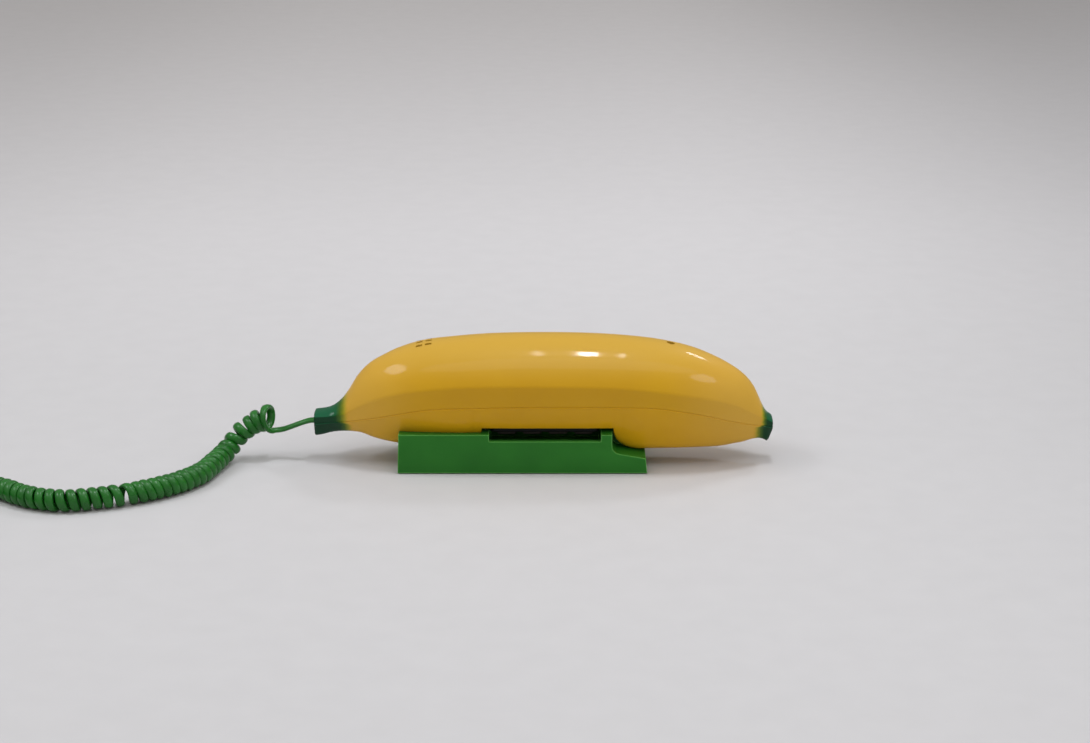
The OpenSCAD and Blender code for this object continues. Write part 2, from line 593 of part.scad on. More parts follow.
// Length, width and height of the square components, and where each one is on the board
RELAY = [13, 11, 9];
RELAY_Y = -9;
RELAY_GAP = 0.85;       // relay to the screw beside it
CHIP = [19, 7, 3.2];
CHIP_Y = -6;
CHIP_GAP = 0.8;         // chip to the relay
DRIVER = [9, 6, 2.6];
DRIVER_AT = [10, 4];
FILTER = [5, 3.6, 3.4];
FILTER_AT = [0.5, 4];
RESISTOR = [2, 6, 2];
RESISTORS_AT = [-18, 5.5];
RESISTORS = 5;
RESISTOR_PITCH = 3.4;
// Radius and height of the round components, and where each one is
CAPACITOR = [4, 9];
CAPACITOR_AT = [19, -10];
SMALL_CAPACITOR = [3, 7];
SMALL_CAPACITOR_AT = [9, -10.5];
SOUNDER = [3.2, 8];
SOUNDER_Y = 6;
CHIP_EDGE_R = 0.4;
relay_x = board_bosses[0][0] + BOARD_HEAD_R + RELAY_GAP + RELAY[0] / 2;
chip_x = relay_x + RELAY[0] / 2 + CHIP_GAP + CHIP[0] / 2;
sounder_x = relay_x - RELAY[0] / 2 + SOUNDER[0] + 2.1;
module boxed(size, at, edge = CHIP_EDGE_R) {
    on_board(at[0], at[1]) rounded_plate(size[0], size[1], size[2], edge);
}
module canned(can, at) {
    on_board(at[0], at[1]) cylinder(r = can[0], h = can[1]);
}
module board_components() {
    color(BLACK) {
        boxed(CHIP, [chip_x, CHIP_Y]);
        boxed(DRIVER, DRIVER_AT);
    }
    color(GREY) {
        boxed(RELAY, [relay_x, RELAY_Y], 0.6);
        boxed(FILTER, FILTER_AT, 1.6);
        canned(CAPACITOR, CAPACITOR_AT);
        canned(SMALL_CAPACITOR, SMALL_CAPACITOR_AT);
        canned(SOUNDER, [sounder_x, SOUNDER_Y]);
    }
    color([0.75, 0.6, 0.4]) for (k = [0:RESISTORS - 1])
        boxed(RESISTOR, RESISTORS_AT + [RESISTOR_PITCH * k, 0]);
}
module slide_switches() {
    color(STEEL) for (x = [RINGER_SWITCH_X, MODE_X])
        on_board(x, board_w / 2 - SWITCH_D / 2) rounded_plate(SWITCH_L, SWITCH_D, SWITCH_H, 0.5);
}
module slider(x) {
    inner = board_w / 2 + SLIDER_FIT;
    tip = seam_w(x) - tan(side_lean) * (seam_z(x) - SWITCH_Z) + 1.2;
    color(BLACK) {
        on_handset(x - SLIDER_L / 2, inner, SWITCH_Z - SLIDER_H / 2) cube([SLIDER_L, tip - inner, SLIDER_H]);
        on_handset(x - SLIDER_L / 2 - 1, inner, SWITCH_Z - SLIDER_H / 2)
            cube([SLIDER_L + 2, 0.8, SLIDER_H]);
    }
}
module hook_plunger() {
    tip_z = HOOK_GAP - face_gap;
    color(BLACK) {
        on_handset(plunger_x, 0, tip_z) cylinder(r = plunger_r, h = hook_flange_z - tip_z);
        on_handset(plunger_x, 0, hook_flange_z) cylinder(r = HOOK_FLANGE_R, h = HOOK_FLANGE_T);
    }
}
module hook_spring() {
    steps = 12;
    run = SPRING_H - 2 * SPRING_WIRE_R;
    pts = [for (k = [0:SPRING_TURNS * steps])
        let (a = 360 * k / steps, z = SPRING_WIRE_R + run * k / (SPRING_TURNS * steps))
        [plunger_x + SPRING_R * cos(a), SPRING_R * sin(a), face_z + spring_z + z]];
    color(STEEL) sweep(pts, 2 * SPRING_WIRE_R, 2 * SPRING_WIRE_R, 6);
}
module hook_switch() {
    leg = 1.2;
    half = PLUNGER_HOLE_R + leg;
    color(BLACK) {
        on_handset(plunger_x, 0, hook_body_z) rounded_plate(8, 2 * half, HOOK_BODY_H, 0.8);
        for (s = [-1, 1]) on_handset(plunger_x - 3, s * (half - leg / 2) - leg / 2, board_top)
            cube([6, leg, hook_body_z - board_top + 1]);
    }
}
GASKET_T = 1.2;
RECEIVER_T = 7;
module receiver_gasket() {
    color(RUBBER) on_handset(receiver_x, 0, RECEIVER_SEAT_Z) tube(RECEIVER_SEAT_R - 0.4, 6.5, GASKET_T);
}
module receiver_capsule() {
    back = 4;
    color(GREY) on_handset(receiver_x, 0, RECEIVER_SEAT_Z + GASKET_T) {
        cylinder(r = RECEIVER_SEAT_R - 0.4, h = 1.4);
        translate([0, 0, 1.4]) cylinder(r = receiver_r, h = RECEIVER_T - 1.4 - back / 2);
        translate([0, 0, RECEIVER_T - back / 2]) cylinder(r = receiver_r * 0.6, h = back / 2);
    }
}
BOOT_T = 6;
MIC_R = 4.7;
module microphone_boot() {
    color(RUBBER) on_handset(mic_x, 0, MIC_SEAT_Z) difference() {
        cylinder(r = boot_r, h = BOOT_T);
        translate([0, 0, 1.2]) cylinder(r = MIC_R + 0.05, h = BOOT_T);
        translate([0, 0, -1]) cylinder(r = SOUND_R, h = 3);
    }
}
module microphone_capsule() {
    color(STEEL) on_handset(mic_x, 0, MIC_SEAT_Z + 1.2) cylinder(r = MIC_R, h = BOOT_T - 1.4);
}
DISC_T = 0.5;
module ringer_holder() {
    color(BLACK) on_handset(ringer_x, 0, RINGER_Z - 4) difference() {
        cylinder(r = ringer_r + 1.2, h = 4);
        translate([0, 0, -1]) cylinder(r = ringer_r - 2.4, h = 6);
        translate([0, 0, -1]) cylinder(r = ringer_r + 0.1, h = 1 + 1.5);
    }
}
module ringer_disc() {
    color([0.8, 0.68, 0.35]) on_handset(ringer_x, 0, RINGER_Z - 2.5 - DISC_T) cylinder(r = ringer_r, h = DISC_T);
}
module ballast_weight() {
    color(STEEL) on_handset(WEIGHT_X, 0, WEIGHT_Z) difference() {
        rounded_plate(WEIGHT_L, WEIGHT_W, WEIGHT_T, 2);
        for (s = [-1, 1]) translate([s * WEIGHT_SCREWS / 2, 0, -1])
            cylinder(r = BOARD_SCREW_R + 0.2, h = WEIGHT_T + 2);
    }
}
module weight_screws() {
    color(STEEL) for (s = [-1, 1]) on_handset(WEIGHT_X + s * WEIGHT_SCREWS / 2, 0, WEIGHT_Z) {
        translate([0, 0, -1.4]) cylinder(r = BOARD_HEAD_R, h = 1.4);
        cylinder(r = BOARD_SCREW_R - 0.05, h = WEIGHT_T + 2.6);
    }
}
module cord_grommet() {
    color(GREEN) on_handset(-half_l, 0, port_z) rotate([0, 90, 0]) {
        cylinder(r = PORT_R - GROMMET_FIT, h = END_WALL + 1);
        translate([0, 0, GROOVE[0] + GROMMET_FIT])
            cylinder(r = PORT_R + GROOVE_DEPTH - GROMMET_FIT, h = GROOVE[1] - GROOVE[0] - 2 * GROMMET_FIT);
    }
}
// Wires inside the handset: [x, y, height above the keypad face]
WIRE_D = 1.2;
grommet_in_x = END_WALL + 1 - half_l;
board_wire_z = board_top + WIRE_D / 2;
wires = [
    [[grommet_in_x, 0, port_z], [-100, 0, 0], [-92, 6, 4], [-84, 8, 6], [-70, 8, 8], [-55, 8, 9],
     [board_x0 + 4, 8, board_wire_z]],
    [[mic_x, 0, MIC_SEAT_Z + BOOT_T + 0.6], [-62, -2, 2], [-54, -6, 7], [board_x0 + 4, -3, board_wire_z]],
    [[ringer_x, -4, RINGER_Z - 4], [-56, -6, 20], [-50, -7, 12], [board_x0 + 4, 2, board_wire_z]],
    [[receiver_x - 4, 3, RECEIVER_SEAT_Z + GASKET_T + RECEIVER_T + 0.6], [70, 7, 2], [58, 9, 6],
     [48, 9, 9], [board_x1 - 4, 7, board_wire_z]]];
module wiring() {
    color([0.6, 0.15, 0.12]) for (w = wires)
        sweep(smooth([for (p = w) [p[0], p[1], face_z + p[2]]], 4), WIRE_D, WIRE_D, 6);
}

// ---- Cord ----
// Route points from the stem along the table; the curly part is a tube of its outer diameter.
tail_route = [[-half_l, 0, face_z + port_z], [-116.5, 0, face_z + port_z],
    [-118, 0, face_z + port_z], [-121, -0.1, 20.2], [-124, -0.4, 18.9], [-128, -0.8, 17.4],
    [-132, -1.3, 17], [-136, -1.5, 17.2]];
coil_route = [[-136, 0, 21.6], [-141, 0, 21.6], [-145, 0, 19.8], [-148.5, 0, 17.4],
    [-152.5, -0.5, 14.5], [-155.5, -1.5, 11], [-158.5, -4, 7.4], [-161.5, -11.5, 5.6],
    [-164.5, -24, 5.5], [-168.5, -36.5, 5.5], [-176, -47.5, 5.5], [-187, -57.5, 5.5],
    [-200, -65.5, 5.5], [-213.5, -71, 5.5], [-228, -74, 5.5], [-241, -71, 5.5],
    [-251, -65, 5.5], [-260, -58, 5.5], [-270, -54, 5.5], [-280, -57.5, 5.5],
    [-285.5, -67, 5.5], [-286, -79, 5.5], [-282, -90.5, 5.5], [-277, -101.5, 5.5],
    [-273, -112.5, 5.5], [-271.5, -124, 5.5], [-273, -135.5, 5.5], [-275, -144, 5.5],
    [-281, -152, 5.5]];
lead_route = [[-281.12, -152.16, 1.6], [-284.5, -156.5, 1.5], [-290, -159.5, 1.4],
    [-296, -157.5, 1.4], [-299.5, -151.5, 1.4], [-300, -144, 1.4], [-300, -134, 1.6],
    [-300, -124, 2.6]];
plug_at = [-300, -124];

function unit(v) = v / norm(v);
// Smooth route through hand-placed points, with n steps between each pair
function smooth(p, n) = concat([for (i = [0:len(p) - 2]) for (k = [0:n - 1])
    let (a = p[max(i - 1, 0)], b = p[i], c = p[i + 1], d = p[min(i + 2, len(p) - 1)], t = k / n)
    0.5 * (2 * b + (c - a) * t + (2 * a - 5 * b + 4 * c - d) * t^2 + (3 * b - a - 3 * c + d) * t^3)],
    [p[len(p) - 1]]);
// Solid swept along points, w wide across the level direction and h high
module sweep(pts, w, h, sides) {
    last = len(pts) - 1;
    rings = [for (i = [0:last])
        let (t = unit(pts[min(i + 1, last)] - pts[max(i - 1, 0)]),
             n = unit(cross([0, 0, 1], t)),
             u = cross(t, n))
        [for (k = [0:sides - 1]) let (a = 360 * (k + 0.5) / sides)
            pts[i] + n * w / 2 * cos(a) + u * h / 2 * sin(a)]];
    loft(rings, flip = true);
}
module cord_tail() {
    color(GREEN) sweep(smooth(tail_route, 3), cord_w, cord_t, 8);
}
module cord_coil() {
    color(GREEN) sweep(smooth(coil_route, 2), coil_d, coil_d, 12);
}
module cord_lead() {
    color(GREEN) sweep(smooth(lead_route, 2), cord_w, cord_t, 8);
}
PLUG_L = 12.3;
PLUG_W = 9.6;
PLUG_H = 6.5;
module at_plug() {
    translate(plug_at) rotate([0, 0, 90]) children();
}
module plug_body() {
    color([0.8, 0.82, 0.84]) at_plug() difference() {
        translate([0, -PLUG_W / 2, 0]) cube([PLUG_L, PLUG_W, PLUG_H]);
        for (k = [-1.5:1.5]) translate([PLUG_L - 6, k * 1.02 - 0.3, -1]) cube([7, 0.6, 4]);
    }
}
module plug_contacts() {
    color([0.8, 0.65, 0.25]) at_plug() for (k = [-1.5:1.5])
        translate([PLUG_L - 5.6, k * 1.02 - 0.25, 0.6]) cube([4.8, 0.5, 2.4]);
}
module plug_latch() {
    color([0.8, 0.82, 0.84]) at_plug() {
        translate([PLUG_L - 2, -2, PLUG_H]) cube([1.6, 4, 1.2]);
        translate([PLUG_L - 13, -1.6, PLUG_H + 1.2]) cube([12.6, 3.2, 0.9]);
    }
}

base_shell();
base_feet();
back_shell();
face_shell();
keypad_bezel();
for (col = [0:2], row = [0:3])
    key(col, row);
key_mat();
circuit_board();
board_components();
board_screws();
receiver_capsule();
receiver_gasket();
microphone_capsule();
microphone_boot();
ringer_holder();
ringer_disc();
hook_plunger();
hook_spring();
hook_switch();
slider(RINGER_SWITCH_X);  // ringer_slider
slider(MODE_X);  // mode_slider
slide_switches();
ballast_weight();
weight_screws();
shell_screws();
cord_grommet();
wiring();
cord_tail();
cord_coil();
cord_lead();
plug_body();
plug_latch();
plug_contacts();
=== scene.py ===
"""Banana-shaped telephone on its green stand, with its curly cord: the visual model."""

import math

import bmesh
import bpy
from mathutils import Matrix, Vector


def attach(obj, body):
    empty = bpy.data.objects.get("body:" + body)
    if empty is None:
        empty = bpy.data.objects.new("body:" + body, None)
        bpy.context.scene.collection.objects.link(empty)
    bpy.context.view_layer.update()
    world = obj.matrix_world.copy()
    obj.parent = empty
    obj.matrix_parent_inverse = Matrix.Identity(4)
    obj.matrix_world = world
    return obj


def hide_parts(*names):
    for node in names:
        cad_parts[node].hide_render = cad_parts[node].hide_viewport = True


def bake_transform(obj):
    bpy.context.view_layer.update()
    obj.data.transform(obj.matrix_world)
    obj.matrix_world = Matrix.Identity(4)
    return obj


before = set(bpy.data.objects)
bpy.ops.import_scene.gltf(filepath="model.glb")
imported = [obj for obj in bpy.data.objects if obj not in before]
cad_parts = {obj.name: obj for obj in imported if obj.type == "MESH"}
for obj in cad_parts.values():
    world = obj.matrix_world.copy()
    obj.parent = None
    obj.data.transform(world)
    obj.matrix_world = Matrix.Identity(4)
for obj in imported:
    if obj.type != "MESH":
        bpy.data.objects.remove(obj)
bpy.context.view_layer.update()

MM = 0.001

# ---- camera
PITCH = 17.25  # degrees that the camera looks down
DISTANCE = 1.15
TARGET = Vector((0.00075, 0.0, 0.0466))
IMAGE_W = 1090  # pixels
FOCAL_PX = 2300
SENSOR = 36.0


def make_camera():
    data = bpy.data.cameras.new("camera")
    data.sensor_width = SENSOR
    data.lens = SENSOR * FOCAL_PX / IMAGE_W
    camera = bpy.data.objects.new("camera", data)
    bpy.context.collection.objects.link(camera)
    pitch = math.radians(PITCH)
    camera.location = TARGET + DISTANCE * Vector((0, -math.cos(pitch), math.sin(pitch)))
    camera.rotation_euler = (math.pi / 2 - pitch, 0, 0)
    bpy.context.scene.camera = camera


# ---- mesh helpers
LATHE_SIDES = 48
CORNER_POINTS = 6  # steps in a rounded corner
SAME_POINT = 1e-7  # metres within which two points are one


def new_object(name, verts, faces):
    """Object from points in millimetres"""
    mesh = bpy.data.meshes.new(name)
    mesh.from_pydata([Vector(v) * MM for v in verts], [], faces)
    mesh.validate()
    obj = bpy.data.objects.new(name, mesh)
    bpy.context.collection.objects.link(obj)
    return obj


def outward(obj):
    """Turn all faces outwards"""
    bm = bmesh.new()
    bm.from_mesh(obj.data)
    bmesh.ops.recalc_face_normals(bm, faces=bm.faces)
    bm.to_mesh(obj.data)
    bm.free()
    return obj


def smooth_shade(obj, degrees=35):
    """Smooth shading that breaks at edges sharper than the angle"""
    bm = bmesh.new()
    bm.from_mesh(obj.data)
    limit = math.radians(degrees)
    for f in bm.faces:
        f.smooth = True
    for e in bm.edges:
        e.smooth = len(e.link_faces) == 2 and e.calc_face_angle(math.pi) < limit
    bm.to_mesh(obj.data)
    bm.free()
    return obj


def apply_modifiers(obj):
    """Make the result of the modifiers the object's own mesh"""
    graph = bpy.context.evaluated_depsgraph_get()
    mesh = bpy.data.meshes.new_from_object(obj.evaluated_get(graph))
    old, name = obj.data, obj.data.name
    obj.modifiers.clear()
    obj.data = mesh
    bpy.data.meshes.remove(old)
    mesh.name = name
    return obj


def cut(obj, tools):
    """Cut tools out of obj, and delete them"""
    for tool in tools:
        mod = obj.modifiers.new("cut", "BOOLEAN")
        mod.operation = "DIFFERENCE"
        mod.solver = "EXACT"
        mod.object = tool
    apply_modifiers(obj)
    for tool in tools:
        bpy.data.objects.remove(tool)
    return obj


def bevel(obj, width, degrees, segments):
    """Round the edges sharper than the angle"""
    mod = obj.modifiers.new("bevel", "BEVEL")
    mod.width = width * MM
    mod.segments = segments
    mod.limit_method = "ANGLE"
    mod.angle_limit = math.radians(degrees)
    return apply_modifiers(obj)


def join(name, objs):
    """One object from several, keeping each one's shading and materials"""
    bm = bmesh.new()
    slots = []
    for o in objs:
        index = []
        for m in o.data.materials:
            if m not in slots:
                slots.append(m)
            index.append(slots.index(m))
        start = len(bm.faces)
        bm.from_mesh(o.data)
        bm.faces.ensure_lookup_table()
        for f in bm.faces[start:]:
            f.material_index = index[f.material_index] if index else 0
    mesh = bpy.data.meshes.new(name)
    bm.to_mesh(mesh)
    bm.free()
    for m in slots:
        mesh.materials.append(m)
    for o in objs:
        bpy.data.objects.remove(o)
    obj = bpy.data.objects.new(name, mesh)
    bpy.context.collection.objects.link(obj)
    return obj


def loft(name, rings):
    """Skin through rings of equal length; the two ends are closed by polygons"""
    n = len(rings[0])
    verts = [p for r in rings for p in r]
    faces = []
    for i in range(len(rings) - 1):
        for j in range(n):
            a, b = i * n + j, i * n + (j + 1) % n
            faces.append((a, b, b + n, a + n))
    faces.append(tuple(reversed(range(n))))
    faces.append(tuple(range((len(rings) - 1) * n, len(rings) * n)))
    return outward(new_object(name, verts, faces))


def lathe(name, profile, place=(0, 0, 0), axis="Z"):
    """Turned piece: profile is a closed list of (radius, height)"""
    n, count = LATHE_SIDES, len(profile)
    turns = [2 * math.pi * k / n for k in range(n)]
    verts = [(r * math.cos(a), r * math.sin(a), z) for r, z in profile for a in turns]
    faces = []
    for i in range(count):
        j = (i + 1) % count
        if profile[i][0] == 0 and profile[j][0] == 0:
            continue
        for k in range(n):
            m = (k + 1) % n
            faces.append((i * n + k, i * n + m, j * n + m, j * n + k))
    obj = new_object(name, verts, faces)
    bm = bmesh.new()
    bm.from_mesh(obj.data)
    bmesh.ops.remove_doubles(bm, verts=bm.verts, dist=SAME_POINT)
    bmesh.ops.dissolve_degenerate(bm, edges=bm.edges, dist=SAME_POINT)
    bmesh.ops.recalc_face_normals(bm, faces=bm.faces)
    turn = Matrix.Rotation(math.pi / 2, 4, "Y") if axis == "X" else Matrix.Identity(4)
    bmesh.ops.transform(
        bm, matrix=Matrix.Translation(Vector(place) * MM) @ turn, verts=bm.verts
    )
    bm.to_mesh(obj.data)
    bm.free()
    return obj


def cylinder(r, z0, z1, x, y):
    return lathe("cylinder", [(0, z0), (r, z0), (r, z1), (0, z1)], (x, y, 0))


def rounded_ring(l, w, r, place, z, steps=CORNER_POINTS):
    """Rectangle with rounded corners, at a height"""
    ring = []
    for cx, cy, a0 in ((1, 1, 0), (-1, 1, 90), (-1, -1, 180), (1, -1, 270)):
        for k in range(steps + 1):
            a = math.radians(a0 + 90 * k / steps)
            x = place[0] + cx * (l / 2 - r) + r * math.cos(a)
            y = place[1] + cy * (w / 2 - r) + r * math.sin(a)
            ring.append((x, y, z))
    return ring


def plate(name, l, w, z0, z1, r, place, steps=CORNER_POINTS):
    """Plate with rounded corners"""
    return loft(name, [rounded_ring(l, w, r, place, z, steps) for z in (z0, z1)])


def box(x0, x1, y0, y1, z0, z1):
    corners = ((x0, y0), (x1, y0), (x1, y1), (x0, y1))
    return loft("box", [[(x, y, z) for x, y in corners] for z in (z0, z1)])


def catmull(points, steps):
    """Smooth route through the points, as part.scad's smooth() makes it"""
    points = [Vector(p) for p in points]
    out = []
    last = len(points) - 1
    for i in range(last):
        a, b = points[max(i - 1, 0)], points[i]
        c, d = points[i + 1], points[min(i + 2, last)]
        for k in range(steps):
            t = k / steps
            squares = (2 * a - 5 * b + 4 * c - d) * t**2
            cubes = (3 * b - a - 3 * c + d) * t**3
            out.append(0.5 * (2 * b + (c - a) * t + squares + cubes))
    return out + [points[last]]


def lerp(a, b, t):
    return a + (b - a) * t


def ramp(x, a, b):
    """Smooth step from 0 at a to 1 at b"""
    t = min(max((x - a) / (b - a), 0), 1)
    return t * t * (3 - 2 * t)


# ---- materials
def rgb(r, g, b):
    """Linear colour from a display colour of 0 to 255"""
    return tuple(
        c / 12.92 if c <= 0.04045 else ((c + 0.055) / 1.055) ** 2.4
        for c in (r / 255, g / 255, b / 255)
    ) + (1.0,)


def feed(tree, value, socket):
    """Join a node's first output or a socket to the socket, or set it to the value"""
    if isinstance(value, bpy.types.Node):
        value = value.outputs[0]
    if isinstance(value, bpy.types.NodeSocket):
        tree.links.new(value, socket)
    else:
        socket.default_value = value


class Material:
    """Node material with a short way to add and join nodes"""

    def __init__(self, name):
        self.mat = bpy.data.materials.new(name)
        self.mat.use_nodes = True
        self.tree = self.mat.node_tree
        self.tree.nodes.clear()
        self.shader = self.node("ShaderNodeBsdfPrincipled")
        self.out = self.node("ShaderNodeOutputMaterial")
        self.link(self.shader, "BSDF", self.out, "Surface")
        self.coords = self.node("ShaderNodeTexCoord")

    def node(self, kind, **values):
        n = self.tree.nodes.new(kind)
        for key, value in values.items():
            setattr(n, key, value)
        return n

    def link(self, a, a_out, b, b_in):
        self.tree.links.new(a.outputs[a_out], b.inputs[b_in])

    def set(self, **values):
        for key, value in values.items():
            self.shader.inputs[key.replace("_", " ")].default_value = value
        return self

    def noise(self, scale, detail, stretch=None):
        """Noise in the object's own metres"""
        n = self.node("ShaderNodeTexNoise")
        n.inputs["Scale"].default_value = scale
        n.inputs["Detail"].default_value = detail
        if stretch:
            m = self.node("ShaderNodeMapping")
            m.inputs["Scale"].default_value = stretch
            self.link(self.coords, "Object", m, "Vector")
            self.link(m, "Vector", n, "Vector")
        else:
            self.link(self.coords, "Object", n, "Vector")
        return n

    def steps(self, source, stops):
        """Colour ramp: stops are (place, colour)"""
        r = self.node("ShaderNodeValToRGB")
        e = r.color_ramp.elements
        e[0].position, e[0].color = stops[0]
        e[1].position, e[1].color = stops[-1]
        for place, colour in stops[1:-1]:
            e.new(place).color = colour
        self.feed(source, r.inputs["Fac"])
        return r

    def mix(self, factor, a, b, kind="MIX"):
        """Mix of two colours; each of the three is a node, a socket or a value"""
        m = self.node("ShaderNodeMix", data_type="RGBA", blend_type=kind)
        colours = [s for s in m.inputs if s.type == "RGBA"]
        for value, socket in zip((factor, a, b), [m.inputs[0]] + colours):
            self.feed(value, socket)
        return [s for s in m.outputs if s.type == "RGBA"][0]

    def math(self, kind, a, b=None, c=None):
        m = self.node("ShaderNodeMath", operation=kind)
        for socket, value in zip(m.inputs, (a, b, c)):
            if value is not None:
                self.feed(value, socket)
        return m.outputs[0]

    def feed(self, value, socket):
        feed(self.tree, value, socket)

    def xyz(self):
        s = self.node("ShaderNodeSeparateXYZ")
        self.link(self.coords, "Object", s, "Vector")
        return s.outputs

    def bump(self, height, strength, distance):
        b = self.node("ShaderNodeBump")
        b.inputs["Strength"].default_value = strength
        b.inputs["Distance"].default_value = distance
        self.feed(height, b.inputs["Height"])
        self.link(b, "Normal", self.shader, "Normal")

    def colour(self, value):
        self.feed(value, self.shader.inputs["Base Color"])

    def rough(self, source, least, more):
        """Roughness from the least value to that much more, as the source has it"""
        drift = self.math("MULTIPLY_ADD", source, more, least)
        self.feed(drift, self.shader.inputs["Roughness"])


SHEEN = 0.22  # level of the reflections on moulded plastic


def plastic(name, colour, darker, roughness, grain=900, bump=0.03, cloud=40):
    """Moulded plastic: a colour that drifts a little, and a fine grain"""
    m = Material(name)
    drift = m.noise(cloud, 3)
    m.colour(m.steps(drift, [(0.3, darker), (0.7, colour)]))
    m.rough(m.noise(grain / 4, 3), roughness - 0.08, 0.16)
    m.bump(m.noise(grain, 2), bump, 0.0002)
    m.set(Specular_IOR_Level=SHEEN)
    return m.mat


def metal(name, colour, roughness, scratch=(400, 400, 400)):
    m = Material(name)
    m.set(Metallic=1.0)
    streak = m.noise(1.0, 3, stretch=scratch)
    dark = tuple(c * 0.8 for c in colour[:3]) + (1.0,)
    m.colour(m.steps(streak, [(0.35, dark), (0.65, colour)]))
    m.rough(streak, roughness - 0.1, 0.2)
    m.bump(streak, 0.05, 0.0001)
    return m.mat


# ---- cord
CORD_W = 4.3
CORD_T = 2.6
COIL_D = 10.9  # outside the curls
CURL_R = (COIL_D - CORD_T) / 2  # middle of the wire to the curl's axis
TURN_STEPS = 24
ROUTE_STEPS = 12
LEAD_STEPS = 6
LOOK = 5.0  # a route's direction is taken over this length each way
SECTION_SIDES = 16
RING_WIDE = 0.45  # how much wider the first, open curl is
RING_OPEN = math.radians(27)  # turn of the first curl towards the camera
RING_TWIST = math.radians(45)  # turn of the flat cord in it, first one way and then the other
NEST_LEAN = 1.5  # how far tightly packed curls lean over, and how far their flat side tilts
NEST_TILT = 0.3
TURNS = 61.75
# Axis of the curls, the same route as the CAD model's cord_coil
COIL_ROUTE = [
    (-136, 0, 21.6), (-141, 0, 21.6), (-145, 0, 19.8), (-148.5, 0, 17.4),
    (-152.5, -0.5, 14.5), (-155.5, -1.5, 11), (-158.5, -4, 7.4), (-161.5, -11.5, 5.6),
    (-164.5, -24, 5.5), (-168.5, -36.5, 5.5), (-176, -47.5, 5.5), (-187, -57.5, 5.5),
    (-200, -65.5, 5.5), (-213.5, -71, 5.5), (-228, -74, 5.5), (-241, -71, 5.5),
    (-251, -65, 5.5), (-260, -58, 5.5), (-270, -54, 5.5), (-280, -57.5, 5.5),
    (-285.5, -67, 5.5), (-286, -79, 5.5), (-282, -90.5, 5.5), (-277, -101.5, 5.5),
    (-273, -112.5, 5.5), (-271.5, -124, 5.5), (-273, -135.5, 5.5), (-275, -144, 5.5),
    (-281, -152, 5.5),
]
# Straight wire from the stem to the first curl, and from the last curl to the plug
TAIL_ROUTE = [
    (-115, 0, 21.0), (-117, 0, 21.0), (-119.5, 0, 20.4), (-123.2, 0.6, 18.9),
    (-126.9, 1.3, 17.3), (-130.7, 1.8, 15.8), (-133.8, 1.5, 15.3),
]
LEAD_ROUTE = [
    (-284.9, -151.6, 2.2), (-286.7, -155.9, 1.3), (-290.5, -158.6, 1.3), (-296, -157.5, 1.3),
    (-299.5, -151.5, 1.3), (-300, -144, 1.4), (-300, -134, 1.7), (-300, -124, 2.6),
]
PLUG_AT = (-300.0, -124.0)


class Route:
    """Points by distance along a smooth route"""

    def __init__(self, points):
        self.points = catmull(points, ROUTE_STEPS)
        self.at = [0.0]
        for a, b in zip(self.points, self.points[1:]):
            self.at.append(self.at[-1] + (b - a).length)
        self.length = self.at[-1]

    def __call__(self, s):
        s = min(max(s, 0), self.length)
        lo, hi = 0, len(self.at) - 1
        while hi - lo > 1:
            mid = (lo + hi) // 2
            lo, hi = (mid, hi) if self.at[mid] <= s else (lo, mid)
        t = (s - self.at[lo]) / max(self.at[hi] - self.at[lo], 1e-9)
        return self.points[lo].lerp(self.points[hi], t)

    def direction(self, s):
        return (self(s + LOOK) - self(s - LOOK)).normalized()


# Distance from one curl to the next: (curl, share of the mean distance)
PITCHES = [
    (0, 1.2), (0.9, 1.15), (1.3, 0.85), (2.5, 1.0), (3.5, 1.15), (5, 1.22), (9, 1.2),
    (11, 1.0), (12.5, 0.86), (20.6, 0.86), (21.1, 1.06), (21.6, 1.5), (22.1, 1.25),
    (23, 1.04), (28, 1.04), (31, 0.943), (70, 0.952),
]


# Small waves that make the curls uneven: (size, turns of phase to a curl, phase)
SIZE_WAVES = [(0.018, 2.3, 0), (0.012, 5.1, 1)]
LEAN_WAVES = [(0.35, 1.7, 0), (0.25, 3.9, 2)]
TABLE_FROM = 40  # how far along the route the curls come down to the table
FLOOR_GAP = 0.02


def waves(table, u):
    return sum(size * math.sin(often * u + phase) for size, often, phase in table)


def share_at(table, u):
    for (u0, v0), (u1, v1) in zip(table, table[1:]):
        if u <= u1:
            return lerp(v0, v1, (u - u0) / (u1 - u0))
    return table[-1][1]


